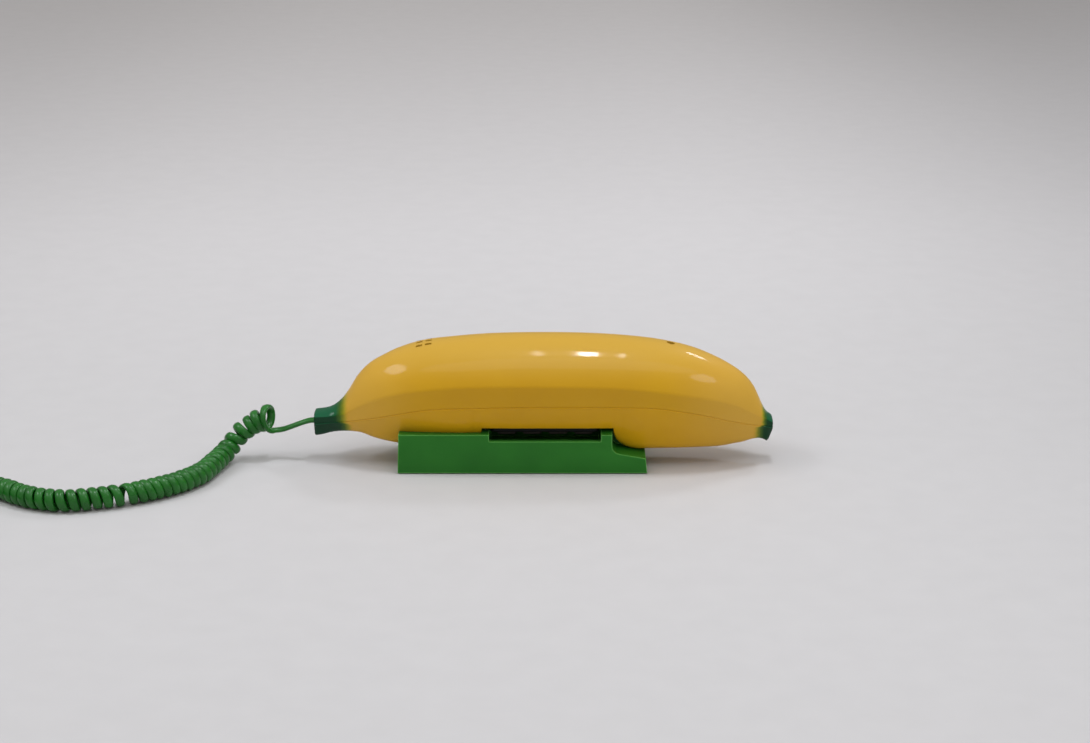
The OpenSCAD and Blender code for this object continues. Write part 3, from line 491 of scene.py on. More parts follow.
def curl_points():
    """Middle line of the wire in the curls, and the direction outwards at each point"""
    route = Route(COIL_ROUTE)
    steps = round(TURNS * TURN_STEPS)
    pitch = [share_at(PITCHES, k / TURN_STEPS) for k in range(steps)]
    scale = route.length / sum(pitch)
    points, outs = [], []
    s = 0.0
    for k in range(steps + 1):
        u = k / TURN_STEPS
        along = route.direction(s)
        open_up = RING_OPEN * (1 - 0.75 * ramp(u, 0.7, 1.3) - 0.25 * ramp(u, 1.3, 4))
        along = Matrix.Rotation(-open_up, 3, "Z") @ along
        up = (Vector((0, 0, 1)) - along * along.z).normalized()
        side = along.cross(up)
        turn = math.pi + 2 * math.pi * u
        out = up * math.cos(turn) + side * math.sin(turn)
        wide = 1 + RING_WIDE * (1 - 0.7 * ramp(u, 0.7, 1.25) - 0.3 * ramp(u, 1.25, 3))
        uneven = 1 + waves(SIZE_WAVES, u)
        nested = ramp(u, 4, 12) * (1 - ramp(u, 20, 21.5))
        lean = NEST_LEAN * nested + waves(LEAN_WAVES, u)
        r = CURL_R * wide * (uneven if u > 1 else 1)
        place = route(s) + out * r + along * lean * 0.5 * math.cos(turn)
        if s > TABLE_FROM:
            place.z = max(place.z, CORD_T / 2 + FLOOR_GAP)
        points.append(place)
        twist = RING_TWIST * (2 * ramp(u, 0.35, 0.65) - 1) * (1 - ramp(u, 0.9, 1.1))
        out = Matrix.Rotation(twist, 3, "Z") @ out
        outs.append((out + along * NEST_TILT * nested).normalized())
        if k < steps:
            s += pitch[k] * scale
    return points, outs


def cord_path():
    """Whole middle line of the wire, and the direction of its thin side at each point"""
    curls, outs = curl_points()
    down = Vector((0, 0, -1))
    head = catmull(TAIL_ROUTE + [curls[0], curls[2], curls[4]], LEAD_STEPS)
    head = head[: LEAD_STEPS * len(TAIL_ROUTE)]
    tail = catmull([curls[-5], curls[-3], curls[-1]] + LEAD_ROUTE, LEAD_STEPS)
    tail = tail[2 * LEAD_STEPS + 1 :]
    points = head + curls + tail
    thin = [down] * len(head) + outs + [down] * len(tail)
    for _ in range(3):  # even out where straight wire and curls meet
        for joint in (len(head), len(head) + len(curls)):
            for i in range(joint - 5, joint + 6):
                thin[i] = (thin[i - 1] + thin[i] * 2 + thin[i + 1]).normalized()
    return points, thin


def flat_section():
    """Outline of the flat cord: (across its width, through its thickness)"""
    turns = [2 * math.pi * k / SECTION_SIDES for k in range(SECTION_SIDES)]
    return [(CORD_W / 2 * math.cos(a), CORD_T / 2 * math.sin(a)) for a in turns]


def make_cord():
    """Curly cord with its middle line in metres and its length"""
    points, thin = cord_path()
    section = flat_section()
    rings = []
    last = len(points) - 1
    for i, p in enumerate(points):
        along = (points[min(i + 1, last)] - points[max(i - 1, 0)]).normalized()
        t = (thin[i] - along * thin[i].dot(along)).normalized()
        w = along.cross(t)
        ring = [p + w * a + t * b for a, b in section]
        rings.append([Vector((q.x, q.y, max(q.z, 0.0))) for q in ring])
    cord = smooth_shade(loft("curly_cord", rings), 50)
    length = sum((b - a).length for a, b in zip(points, points[1:])) * MM
    return cord, [p * MM for p in points], length


# ---- handset's form
# The same lines as in the CAD model: [share of half length, share of a height or width]
HALF_L = 115.0
BACK_H = 43.8
HALF_W = 26.0
BULGE_DROP = 13.2
FACE_Z = 22.4  # keypad face above the table
SIDE_LEAN = math.radians(28)
WALL = 2.2
FACE_X = 2.0
FACE_L = 65.5
BULGE_ROUND = 14.0
BACK_LINE = [
    (-1, 0.089), (-0.93, 0.126), (-0.887, 0.208), (-0.852, 0.322), (-0.809, 0.507),
    (-0.757, 0.648), (-0.696, 0.742), (-0.626, 0.829), (-0.522, 0.911), (-0.391, 0.954),
    (-0.217, 0.989), (0, 1), (0.217, 0.989), (0.391, 0.957), (0.522, 0.911), (0.643, 0.836),
    (0.748, 0.724), (0.835, 0.596), (0.887, 0.482), (0.922, 0.356), (0.952, 0.178),
    (0.974, 0.075), (1, 0.025),
]
RIDGE_LINE = [
    (-1, 0.05), (-0.93, 0.06), (-0.878, 0.095), (-0.817, 0.205), (-0.687, 0.38),
    (-0.544, 0.475), (-0.4, 0.523), (-0.26, 0.543), (0.07, 0.548), (0.278, 0.534),
    (0.435, 0.5), (0.587, 0.436), (0.74, 0.342), (0.835, 0.25), (0.904, 0.13), (1, -0.02),
]
SEAM_LINE = [
    (-1, -0.032), (-0.878, 0.009), (-0.8, 0.066), (-0.617, 0.194), (-0.504, 0.256),
    (-0.4, 0.279), (-0.157, 0.301), (0.07, 0.306), (0.435, 0.292), (0.548, 0.258),
    (0.704, 0.164), (0.823, 0.062), (0.948, -0.046), (1, -0.07),
]
BELLY_LINE = [
    (-1, 0.68), (-0.97, 0.64), (-0.913, 0.515), (-0.86, 0.465), (-0.813, 0.44),
    (-0.787, 0.47), (-0.75, 0.6), (-0.709, 0.7), (-0.657, 0.8), (-0.6, 0.88), (-0.52, 0.95),
    (-0.42, 1), (0.75, 1), (0.8, 0.97), (0.835, 0.925), (0.875, 0.89), (0.91, 0.8),
    (0.945, 0.78), (0.968, 0.845), (0.981, 0.885), (1, 0.45),
]
PLAN_LINE = [
    (-1, 0.26), (-0.93, 0.28), (-0.887, 0.33), (-0.852, 0.405), (-0.809, 0.51),
    (-0.757, 0.62), (-0.696, 0.727), (-0.609, 0.83), (-0.478, 0.923), (-0.304, 0.98),
    (-0.087, 1), (0.13, 1), (0.33, 0.988), (0.478, 0.958), (0.609, 0.892), (0.73, 0.77),
    (0.826, 0.608), (0.896, 0.438), (0.93, 0.342), (0.957, 0.277), (0.978, 0.26), (1, 0.242),
]
DOME = math.radians(70)  # turn of the crown from its top to the ridge
SEAM_IN = 0.975  # width at the seam, as a share of the width at the ridge
BOTTOM_MIN = 0.5  # least width of the flat bottom, as a share of that at the seam
EDGE_R = 1.2
BULGE_R = 5.0
BULGE_POWER = 2.35  # 2 is round, more is fuller
DOME_STEPS = 16
RIDGE_STEPS = 5
CORNER_STEPS = 7
END_WALL = 5.0  # solid ends of the stem and the tip
TIP_WALL = 7.0
END_ROUND = 0.9  # rounding of the stem's and the tip's end faces
RIDGE_ROUNDS = (1.1, 0.5)  # rounding of the ridge, along the middle and at the ends
RIDGE_FADES = (80, 105)
GROOVE = 0.42  # chamfer on each side of the seam


def curve(line, u):
    """Smooth value at u of a line given by a few points"""
    i = 0
    while i < len(line) - 2 and u >= line[i + 1][0]:
        i += 1

    def slope(k):
        a, b = max(k - 1, 0), min(k + 1, len(line) - 1)
        return (line[b][1] - line[a][1]) / (line[b][0] - line[a][0])

    h = line[i + 1][0] - line[i][0]
    t = (u - line[i][0]) / h
    return (
        (2 * t**3 - 3 * t**2 + 1) * line[i][1]
        + (t**3 - 2 * t**2 + t) * h * slope(i)
        + (3 * t**2 - 2 * t**3) * line[i + 1][1]
        + (t**3 - t**2) * h * slope(i + 1)
    )


def top_z(x):
    return BACK_H * curve(BACK_LINE, x / HALF_L)


def ridge_z(x):
    return BACK_H * curve(RIDGE_LINE, x / HALF_L)


def seam_z(x):
    return BACK_H * curve(SEAM_LINE, x / HALF_L)


def ridge_w(x):
    return HALF_W * curve(PLAN_LINE, x / HALF_L)


def seam_w(x, t=0.0):
    return SEAM_IN * ridge_w(x) - t / math.cos(SIDE_LEAN)


def rise(d):
    """Share of a bulge's depth at d past the end of the keypad face"""
    if d <= 0 or d >= BULGE_ROUND:
        return 0.0 if d <= 0 else 1.0
    return (1 - (1 - d / BULGE_ROUND) ** BULGE_POWER) ** (1 / BULGE_POWER)


def past_face(x):
    return abs(x - FACE_X) - FACE_L / 2


def belly_z(x, t=0.0):
    return t - BULGE_DROP * curve(BELLY_LINE, x / HALF_L) * rise(past_face(x) - t)


def corner_w(x, t=0.0):
    side = seam_w(x) - math.tan(SIDE_LEAN) * (seam_z(x) - belly_z(x, t) + t)
    inset = t * (1 - math.sin(SIDE_LEAN)) / math.cos(SIDE_LEAN)
    return max(side, BOTTOM_MIN * seam_w(x)) - inset


def bend(p, corner, q, steps):
    """Points of a smooth bend from p to q around a corner"""
    return [
        (1 - u) ** 2 * p + 2 * u * (1 - u) * corner + u * u * q
        for u in (k / steps for k in range(steps + 1))
    ]


def rounded_corner(a, corner, b, r, steps):
    """Points of a rounded corner on the way from a to b"""
    p = corner + (a - corner).normalized() * r
    q = corner + (b - corner).normalized() * r
    return bend(p, corner, q, steps)


def upper(x, t=0.0):
    """Half outline of the back, from the seam to the crown, moved inwards by t"""
    a = (ridge_w(x) - t) / math.sin(DOME)
    top = top_z(x) - t
    b = (top - ridge_z(x) + t / 3) / (1 - math.cos(DOME))

    def dome(f):
        return Vector((a * math.sin(f), top - b * (1 - math.cos(f))))

    seam, ridge = Vector((seam_w(x, t), seam_z(x))), dome(DOME)
    r = min(lerp(*RIDGE_ROUNDS, ramp(abs(x), *RIDGE_FADES)), 0.45 * (ridge - seam).length)
    f1 = DOME - r / math.hypot(a * math.cos(DOME), b * math.sin(DOME))
    corner = bend(ridge + (seam - ridge).normalized() * r, ridge, dome(f1), RIDGE_STEPS)
    return [seam] + corner + [dome(f1 * (1 - k / DOME_STEPS)) for k in range(1, DOME_STEPS + 1)]


def lower(x, t=0.0):
    """Half outline of the underside, from the seam to its flat bottom"""
    s = Vector((seam_w(x, t), seam_z(x)))
    c = Vector((corner_w(x, t), belly_z(x, t)))
    r = min(lerp(EDGE_R, BULGE_R, rise(past_face(x))), 0.8 * c.x, 0.8 * (s - c).length)
    return [s] + rounded_corner(s, c, Vector((0, c.y)), r, CORNER_STEPS)


def chamfered(half):
    """Half outline whose first point, at the seam, is cut back to make half of the groove"""
    first, second = half[0], half[1]
    r = min(GROOVE, 0.3 * (second - first).length)
    return [first - Vector((r, 0)), first + (second - first).normalized() * r] + half[1:]


def across(half):
    return half + [Vector((-p.x, p.y)) for p in reversed(half) if p.x > 1e-6]


def end_inset(x):
    """How far the outline draws in at x, to round the end faces"""
    d = min(x + HALF_L, HALF_L - x)
    return END_ROUND - math.sqrt(max(END_ROUND**2 - max(END_ROUND - d, 0) ** 2, 0))


def shell_ring(x, outline, hollow):
    """Outline at x, out along the outside and back along the inside or, if solid, the seam"""
    outer = across(chamfered(outline(x, end_inset(x))))
    inner = [Vector((-p.x, p.y)) for p in across(outline(x, WALL))]
    if not hollow:
        n, w = len(inner), seam_w(x, WALL)
        inner = [Vector((w * (2 * k / (n - 1) - 1), seam_z(x))) for k in range(n)]
    return [(x, p.x, FACE_Z + p.y) for p in outer + inner]


def spread(a, b, n):
    return [a + (b - a) * k / n for k in range(n)]


# Stations on a rounded end and on the rounding of a bulge, as shares of their length
END_SHARES = (0, 0.03, 0.1, 0.22, 0.4, 0.65, 1)
BULGE_SHARES = (0.004, 0.015, 0.035, 0.065, 0.105, 0.155, 0.22, 0.3, 0.4, 0.52, 0.67, 0.83, 1)
FACE_X0, FACE_X1 = FACE_X - FACE_L / 2, FACE_X + FACE_L / 2


def stations():
    """Places along x of the shells' outlines, and whether the shells are hollow there"""
    end = [END_ROUND * s for s in END_SHARES]
    bulge = [BULGE_ROUND * s for s in BULGE_SHARES]
    x0, x1 = END_WALL - HALF_L, HALF_L - TIP_WALL
    xs = [d - HALF_L for d in end] + spread(-113, x0, 2) + [x0]
    xs += spread(x0 + 0.1, FACE_X0 - BULGE_ROUND, 28) + [FACE_X0 - d for d in reversed(bulge)]
    xs += spread(FACE_X0, FACE_X1, 12) + [FACE_X1] + [FACE_X1 + d for d in bulge]
    xs += spread(FACE_X1 + BULGE_ROUND + 2, x1 - 0.1, 25) + [x1 - 0.1, x1]
    xs += spread(x1 + 0.7, HALF_L - END_ROUND, 6) + [HALF_L - d for d in reversed(end)]
    return [(x, x0 < x < x1) for x in xs]


# Places inside the handset, the same as in the CAD model
BACK_SCREW_X = 63.4
STEM_SCREW_X = -84
WELL_R = 2.1
SHANK_HOLE_R = 1.5
BOSS_R = 3.6
JOIN_Z = 22
STEM_JOIN_Z = 0
FLOOR_T = 2
COVER = 0.6
PORT_R = 3.6
RECEIVER_X = 80
MIC_X = -66
RINGER_X = -59.5
RINGER_Z = 29
SLOT = (3.3, 1.8)
SLOT_R = 0.5
SLOT_PITCH = (4.6, 4.5)
SOUND_HOLE_R = 0.9
SOUND_RING_R = 4.5
SOUND_RING = 6  # holes around the middle one
POCKET_X = (-27.0, 28.5)
KEYPAD_X = 0.75
BEZEL = (54.0, 28.6)
BEZEL_STAND = 3.0
PLUNGER_X = 32.0
PLUNGER_R = 1.8
PLUNGER_FIT = 0.3
SWITCH_Z = 8.5
SWITCHES_X = (-14.0, 12.0)
SWITCH_WINDOW = (3.6 + 2 * 2.3, 2.6 + 2 * 0.3)  # a slider with its travel, and with its gaps
BOARD_W = 33.0
SHELL_SHARP = 32  # degrees past which the shells' edges stay sharp


def up_cylinder(r, x, y, z0, z1):
    """Upright cylinder whose heights are measured from the keypad face"""
    return cylinder(r, FACE_Z + z0, FACE_Z + z1, x, y)


def port_cutter():
    """Hole for the cord, through the stem's end"""
    profile = [(0, -1), (PORT_R, -1), (PORT_R, 8), (0, 8)]
    return lathe("port", profile, (-HALF_L, 0, FACE_Z + seam_z(-HALF_L)), axis="X")


def boss_with_well(r, x, z0, z1, well, hole):
    """Tube of a screw boss: well is its wide part and hole its narrow one, as height ranges"""
    tools = [up_cylinder(WELL_R, x, 0, *well), up_cylinder(SHANK_HOLE_R, x, 0, *hole)]
    return cut(up_cylinder(r, x, 0, z0, z1), tools)


def make_back_shell():
    shell = loft("back_form", [shell_ring(x, upper, h) for x, h in stations()])
    cutters = [up_cylinder(WELL_R, BACK_SCREW_X, 0, JOIN_Z + FLOOR_T, BACK_H + 2), port_cutter()]
    z0, z1 = FACE_Z + RINGER_Z + 4, FACE_Z + BACK_H + 2
    for i in (-0.5, 0.5):
        for j in (-1, 0, 1):
            at = (RINGER_X + i * SLOT_PITCH[0], j * SLOT_PITCH[1])
            cutters.append(plate("slot", *SLOT, z0, z1, SLOT_R, at, 3))
    cut(shell, cutters)
    boss = boss_with_well(
        BOSS_R,
        BACK_SCREW_X,
        JOIN_Z,
        top_z(BACK_SCREW_X + BOSS_R) - COVER,
        (JOIN_Z + FLOOR_T, BACK_H),
        (JOIN_Z - 1, JOIN_Z + FLOOR_T + 1),
    )
    return smooth_shade(join("handset_back", [shell, boss]), SHELL_SHARP)


def make_face_shell():
    shell = loft("face_form", [shell_ring(x, lower, h) for x, h in stations()])
    deep = -2 * BULGE_DROP
    cutters = [
        up_cylinder(WELL_R, STEM_SCREW_X, 0, deep, STEM_JOIN_Z - FLOOR_T),
        up_cylinder(PLUNGER_R + PLUNGER_FIT, PLUNGER_X, 0, -1, WALL + 1),
        up_cylinder(SOUND_HOLE_R, MIC_X, 0, deep, 0),
        up_cylinder(SOUND_HOLE_R, RECEIVER_X, 0, deep, 0),
        port_cutter(),
        plate("opening", BEZEL[0] + 0.4, BEZEL[1] + 0.4, FACE_Z - 1, FACE_Z + 3, 2, (KEYPAD_X, 0)),
    ]
    for k in range(SOUND_RING):
        a = 2 * math.pi * k / SOUND_RING
        x, y = RECEIVER_X + SOUND_RING_R * math.cos(a), SOUND_RING_R * math.sin(a)
        cutters.append(up_cylinder(SOUND_HOLE_R, x, y, deep, 0))
    l, h = SWITCH_WINDOW
    z = FACE_Z + SWITCH_Z
    for x in SWITCHES_X:
        cutters.append(box(x - l / 2, x + l / 2, BOARD_W / 2 + 1, HALF_W + 4, z - h / 2, z + h / 2))
    cut(shell, cutters)
    boss = boss_with_well(
        BOSS_R,
        STEM_SCREW_X,
        belly_z(STEM_SCREW_X - BOSS_R) + COVER,
        STEM_JOIN_Z,
        (deep, STEM_JOIN_Z - FLOOR_T),
        (STEM_JOIN_Z - FLOOR_T - 1, STEM_JOIN_Z + 1),
    )
    return smooth_shade(join("handset_face", [shell, boss]), SHELL_SHARP)


# ---- keypad
KEY_L, KEY_W = 9.6, 6.6
KEY_PITCH = (12.8, 8.9)
KEY_STAND = 1.8
KEY_GAP = 0.3
KEY_FLANGE = 1.4  # how much longer and wider the key's flange is
KEY_R = 1.2
KEY_STEM_R = 1.6
KEY_HOLE = 0.6  # how much larger than the key its hole is
# The cap's rounded top: (depth under the top, how much less long and wide, corner)
KEY_TOP = [
    (0.0, 1.3, 0.9), (0.1, 0.75, 1.1), (0.35, 0.3, KEY_R), (0.75, 0.06, KEY_R), (1.1, 0, KEY_R),
]
MARK_H = 4.6
MARK_T = 0.2
BEZEL_PLATE_T = 1.8
BEZEL_R = 2
BEZEL_WALL = 1
BEZEL_FLANGE = 1.2  # its width and its thickness
KEY_ROWS = [["star", "7", "4", "1"], ["0", "8", "5", "2"], ["hash", "9", "6", "3"]]
MARKS = {"star": "*", "hash": "#"}


def text_mesh(name, text, height, x, y, z, depth):
    """Raised character on the underside, read from below with the handset's tip upwards"""
    data = bpy.data.curves.new(name, "FONT")
    data.body = text
    data.size = height * MM
    data.extrude = depth / 2 * MM
    data.align_x = "CENTER"
    data.align_y = "CENTER"
    data.resolution_u = 3
    obj = bpy.data.objects.new(name, data)
    bpy.context.collection.objects.link(obj)
    mesh = bpy.data.meshes.new_from_object(
        obj.evaluated_get(bpy.context.evaluated_depsgraph_get())
    )
    bpy.data.objects.remove(obj)
    xs, ys = zip(*(v.co.xy for v in mesh.vertices))
    middle = Vector(((min(xs) + max(xs)) / 2, (min(ys) + max(ys)) / 2, 0))
    # The text's upward side points to the tip (+X), and its face points down
    turn = Matrix(((0, 1, 0), (1, 0, 0), (0, 0, -1))).to_4x4()
    mesh.transform(Matrix.Translation(Vector((x, y, z)) * MM) @ turn @ Matrix.Translation(-middle))
    out = bpy.data.objects.new(name, mesh)
    bpy.context.collection.objects.link(out)
    return out


def key_place(col, row):
    return KEYPAD_X + (row - 1.5) * KEY_PITCH[0], (col - 1) * KEY_PITCH[1]


def make_key(col, row, cap, ink):
    """Key with a rounded top and its raised mark"""
    name = KEY_ROWS[col][row]
    x, y = key_place(col, row)
    top = FACE_Z - BEZEL_STAND - KEY_STAND
    flange = FACE_Z - BEZEL_STAND + BEZEL_PLATE_T + KEY_GAP
    shapes = KEY_TOP + [(flange - top, 0, KEY_R)]
    rings = [rounded_ring(KEY_L - d, KEY_W - d, r, (x, y), top + dz) for dz, d, r in shapes]
    body = smooth_shade(loft("key_cap", rings), 40)
    foot = plate(
        "key_foot", KEY_L + KEY_FLANGE, KEY_W + KEY_FLANGE, flange, flange + 1, 1, (x, y)
    )
    stem = cylinder(KEY_STEM_R, flange + 1, FACE_Z + WALL + 1 - KEY_GAP, x, y)
    mark = text_mesh("key_mark", MARKS.get(name, name), MARK_H, x, y, top + 0.02, MARK_T)
    for o in (body, foot, stem):
        o.data.materials.append(cap)
    mark.data.materials.append(ink)
    return join("key_cap_" + name, [body, foot, stem, mark])


def make_bezel():
    """Panel around the keys, with its flange inside the face shell"""
    z0, middle = FACE_Z - BEZEL_STAND, (KEYPAD_X, 0)
    l, w = BEZEL
    inner = (l - 2 * BEZEL_WALL, w - 2 * BEZEL_WALL)
    body = plate("bezel_form", l, w, z0, FACE_Z + WALL, BEZEL_R, middle, 8)
    bevel(body, 0.6, 60, 4)
    cutters = [plate("bezel_inside", *inner, z0 + BEZEL_PLATE_T, FACE_Z + 6, 1.5, middle)]
    for col in range(3):
        for row in range(4):
            hole = (KEY_L + KEY_HOLE, KEY_W + KEY_HOLE)
            cutters.append(plate("key_hole", *hole, z0 - 1, z0 + 2.5, KEY_R, key_place(col, row)))
    cut(body, cutters)
    flange = plate(
        "bezel_flange",
        l + 2 * BEZEL_FLANGE,
        w + 2 * BEZEL_FLANGE,
        FACE_Z + WALL,
        FACE_Z + WALL + BEZEL_FLANGE,
        BEZEL_R,
        middle,
    )
    cut(flange, [plate("gap", *inner, FACE_Z, FACE_Z + 6, 1.5, middle)])
    return smooth_shade(join("keypad_frame", [body, flange]), 35)


# ---- stand
STAND_H = 20.5
STAND_W = 44.0
STAND_X = (-72.5, 51.5)
POST_X = 34.0
SEAT_H = 8.2
POCKET_WALL = 3.0
LOW_WALL_H = 17.0
POCKET_FLOOR = 6.0
SKIN = 2.3
NEST_GAP = 0.4  # between the mouthpiece bulge and the stand
END_DRAFT = 0.7
SOLE = 0.5
SEAT_TURN_R = 4.2
RIB_W = 12.0
RIB_GAP = 0.5
SEAT_FALL = math.radians(10.4)
OUTER_WALL = 2.4
FOOT_IN = 8.2
FOOT_T = 2.0
FOOT_D = 9.0
PILLAR_WALL = 1
SEAT_TURN_STEPS = 12
# Stations of the rib along the earpiece bulge, past the end of the keypad face
RIB_STATIONS = (0.3, 0.55, 0.9, 1.4, 2, 2.8, 3.8, 5)
STAND_EDGE = 0.55  # rounding of the stand's edges


def stand_profile():
    """Side of the stand: a block, the post at its end and the seat behind it"""
    cx = POST_X + SEAT_TURN_R
    run = STAND_X[1] - END_DRAFT - cx
    cz = SEAT_H + run * math.tan(SEAT_FALL) + SEAT_TURN_R
    corner = []
    for k in range(SEAT_TURN_STEPS + 1):
        a = math.pi + (math.pi / 2 - SEAT_FALL) * k / SEAT_TURN_STEPS
        corner.append((cx + SEAT_TURN_R * math.cos(a), cz + SEAT_TURN_R * math.sin(a)))
    return (
        [(STAND_X[0], SOLE), (STAND_X[0] + END_DRAFT, STAND_H), (POST_X, STAND_H)]
        + corner
        + [(STAND_X[1] - END_DRAFT, SEAT_H), (STAND_X[1], SOLE)]
    )


def nest_cutter():
    """Space for the mouthpiece bulge, a little larger than the bulge"""
    xs = spread(STAND_X[0] - 2, FACE_X0 - BULGE_ROUND, 20)
    xs += [FACE_X0 + NEST_GAP - BULGE_ROUND * s for s in reversed(BULGE_SHARES[1:])]
    rings = [[(x, p.x, FACE_Z + p.y) for p in across(lower(x, -NEST_GAP))] for x in xs]
    return loft("nest", rings)


def foot_places():
    xs = (STAND_X[0] + FOOT_IN, STAND_X[1] - FOOT_IN)
    return [(x, y) for x in xs for y in (-(STAND_W / 2 - FOOT_IN), STAND_W / 2 - FOOT_IN)]


def make_stand():
    profile = stand_profile()
    rings = [[(x, y, z) for x, z in profile] for y in (-STAND_W / 2, STAND_W / 2)]
    body = loft("stand_form", rings)
    x0, x1 = POCKET_X
    inner = STAND_W / 2 - POCKET_WALL
    cutters = [
        nest_cutter(),
        box(x0, x1, -inner, inner, POCKET_FLOOR, STAND_H + 5),
        box(x0, x1, -STAND_W, STAND_W, LOW_WALL_H, STAND_H + 5),
    ]
    cut(body, cutters)
    bevel(body, STAND_EDGE, 50, 3)
    nest_z = FACE_Z - BULGE_DROP - NEST_GAP
    hollow_w = STAND_W / 2 - OUTER_WALL
    hollows = [
        (STAND_X[0] + OUTER_WALL + END_DRAFT, x0 - OUTER_WALL, nest_z - SKIN),
        (x0, x1, POCKET_FLOOR - SKIN),
        (x1 + OUTER_WALL, STAND_X[1] - OUTER_WALL - END_DRAFT, SEAT_H - SKIN),
    ]
    cut(body, [box(a, b, -hollow_w, hollow_w, SOLE - 1, c) for a, b, c in hollows])
    pillars = [
        cylinder(FOOT_D / 2 + PILLAR_WALL, FOOT_T, nest_z - SKIN / 2, x, y)
        for x, y in foot_places()
    ]
    return smooth_shade(join("stand", [body, make_rib()] + pillars), 35)


def make_rib():
    """Rib that follows the front of the earpiece bulge, from the post down to the seat"""
    top, foot = STAND_H - RIB_GAP, SEAT_H + 1
    side = [(POST_X - 1, foot), (POST_X - 1, top), (FACE_X1 - RIB_GAP, top)]
    for d in RIB_STATIONS:
        x = FACE_X1 + d
        side.append((x - RIB_GAP, FACE_Z + belly_z(x) - RIB_GAP / 2))
    side.append((side[-1][0], foot))
    rib = loft("rib", [[(x, y, z) for x, z in side] for y in (-RIB_W / 2, RIB_W / 2)])
    return bevel(rib, 0.15, 50, 2)


def make_feet():
    """Rubber feet, each with a shallow hollow in its sole"""
    r = FOOT_D / 2
    profile = [
        (0, 0.25), (r - 1.6, 0.25), (r - 1.3, 0), (r - 0.5, 0), (r - 0.1, 0.15), (r, 0.5),
        (r, FOOT_T), (0, FOOT_T),
    ]
    feet = [lathe("foot", profile, (x, y, 0)) for x, y in foot_places()]
    return smooth_shade(join("rubber_feet", feet), 40)


# ---- plug
PLUG_L, PLUG_W, PLUG_H = 12.3, 9.6, 6.5
CONTACTS_Y = [1.02 * k for k in (-1.5, -0.5, 0.5, 1.5)]
CONTACT_HALF, CONTACT_SLOT_HALF = 0.2, 0.3  # half the thickness of a blade and of its slot
LATCH_HALF = 1.7


def at_plug(obj):
    """From the plug's own frame, with its front at +X, to its place on the table"""
    turn = Matrix.Rotation(math.pi / 2, 4, "Z")
    obj.data.transform(Matrix.Translation(Vector((*PLUG_AT, 0)) * MM) @ turn)
    return obj


def make_plug(clear, gilt):
    half = PLUG_W / 2
    body = box(0.05, PLUG_L - 0.05, -half + 0.02, half - 0.02, 0.02, PLUG_H - 0.02)
    bevel(body, 0.35, 60, 3)
    cutters = [
        box(PLUG_L - 6, PLUG_L + 1, y - CONTACT_SLOT_HALF, y + CONTACT_SLOT_HALF, -1, 3)
        for y in CONTACTS_Y
    ]
    cutters.append(box(4.2, 7.2, -2.6, 2.6, PLUG_H - 1.1, PLUG_H + 1))
    cut(body, cutters)
    body.name = "plug_housing"
    latch_side = [
        (PLUG_L - 0.4, PLUG_H - 0.1), (PLUG_L - 0.5, PLUG_H + 1.5), (PLUG_L - 1.2, PLUG_H + 2.0),
        (PLUG_L - 12.6, PLUG_H + 2.1), (PLUG_L - 12.9, PLUG_H + 1.7),
        (PLUG_L - 12.6, PLUG_H + 1.25), (PLUG_L - 2.6, PLUG_H + 1.2), (PLUG_L - 2.0, PLUG_H + 0.8),
        (PLUG_L - 2.0, PLUG_H - 0.1),
    ]
    rings = [[(x, y, z) for x, z in latch_side] for y in (-LATCH_HALF, LATCH_HALF)]
    latch = loft("plug_clip", rings)
    bevel(latch, 0.12, 50, 2)
    blade_side = [
        (PLUG_L - 5.6, 0.75), (PLUG_L - 5.3, 0.5), (PLUG_L - 1.3, 0.5), (PLUG_L - 0.9, 0.8),
        (PLUG_L - 0.9, 2.9), (PLUG_L - 5.6, 2.9),
    ]
    blades = []
    for y in CONTACTS_Y:
        faces = (y - CONTACT_HALF, y + CONTACT_HALF)
        blades.append(loft("blade", [[(x, f, z) for x, z in blade_side] for f in faces]))
    blades = join("plug_blades", blades)
    for o, m in ((body, clear), (latch, clear), (blades, gilt)):
        smooth_shade(at_plug(o), 35)
        o.data.materials.append(m)
    return body, latch, blades


# ---- finishes
def smooth_map(m, value, start, end, to=1.0, kind="SMOOTHSTEP"):
    """Value from 0 at start to the given value at end"""
    n = m.node("ShaderNodeMapRange", interpolation_type=kind)
    m.feed(value, n.inputs["Value"])
    n.inputs["From Min"].default_value = start
    n.inputs["From Max"].default_value = end
    n.inputs["To Max"].default_value = to
    return n.outputs[0]


# Where the skin's colour changes, in metres: up to the crown, where a painted sheen stands in for
# its reflection, and out to the paler ends
CROWN_SHEEN_Z = (0.047, 0.062)
PALE_ENDS_X = (0.055, 0.098)
# Height of the seam at the stem and the tip, and from where to where along x the paint thins
# out above it and below it
STEM_PAINT = (0.0222, (-0.1068, -0.0965), (-0.1045, -0.0945))
TIP_PAINT = (0.0203, (0.1138, 0.1082), (0.1132, 0.1046))
PAINT_STEP = 0.0008  # how softly the paint changes from above the seam to below it
PAINT_MIST = 0.0012


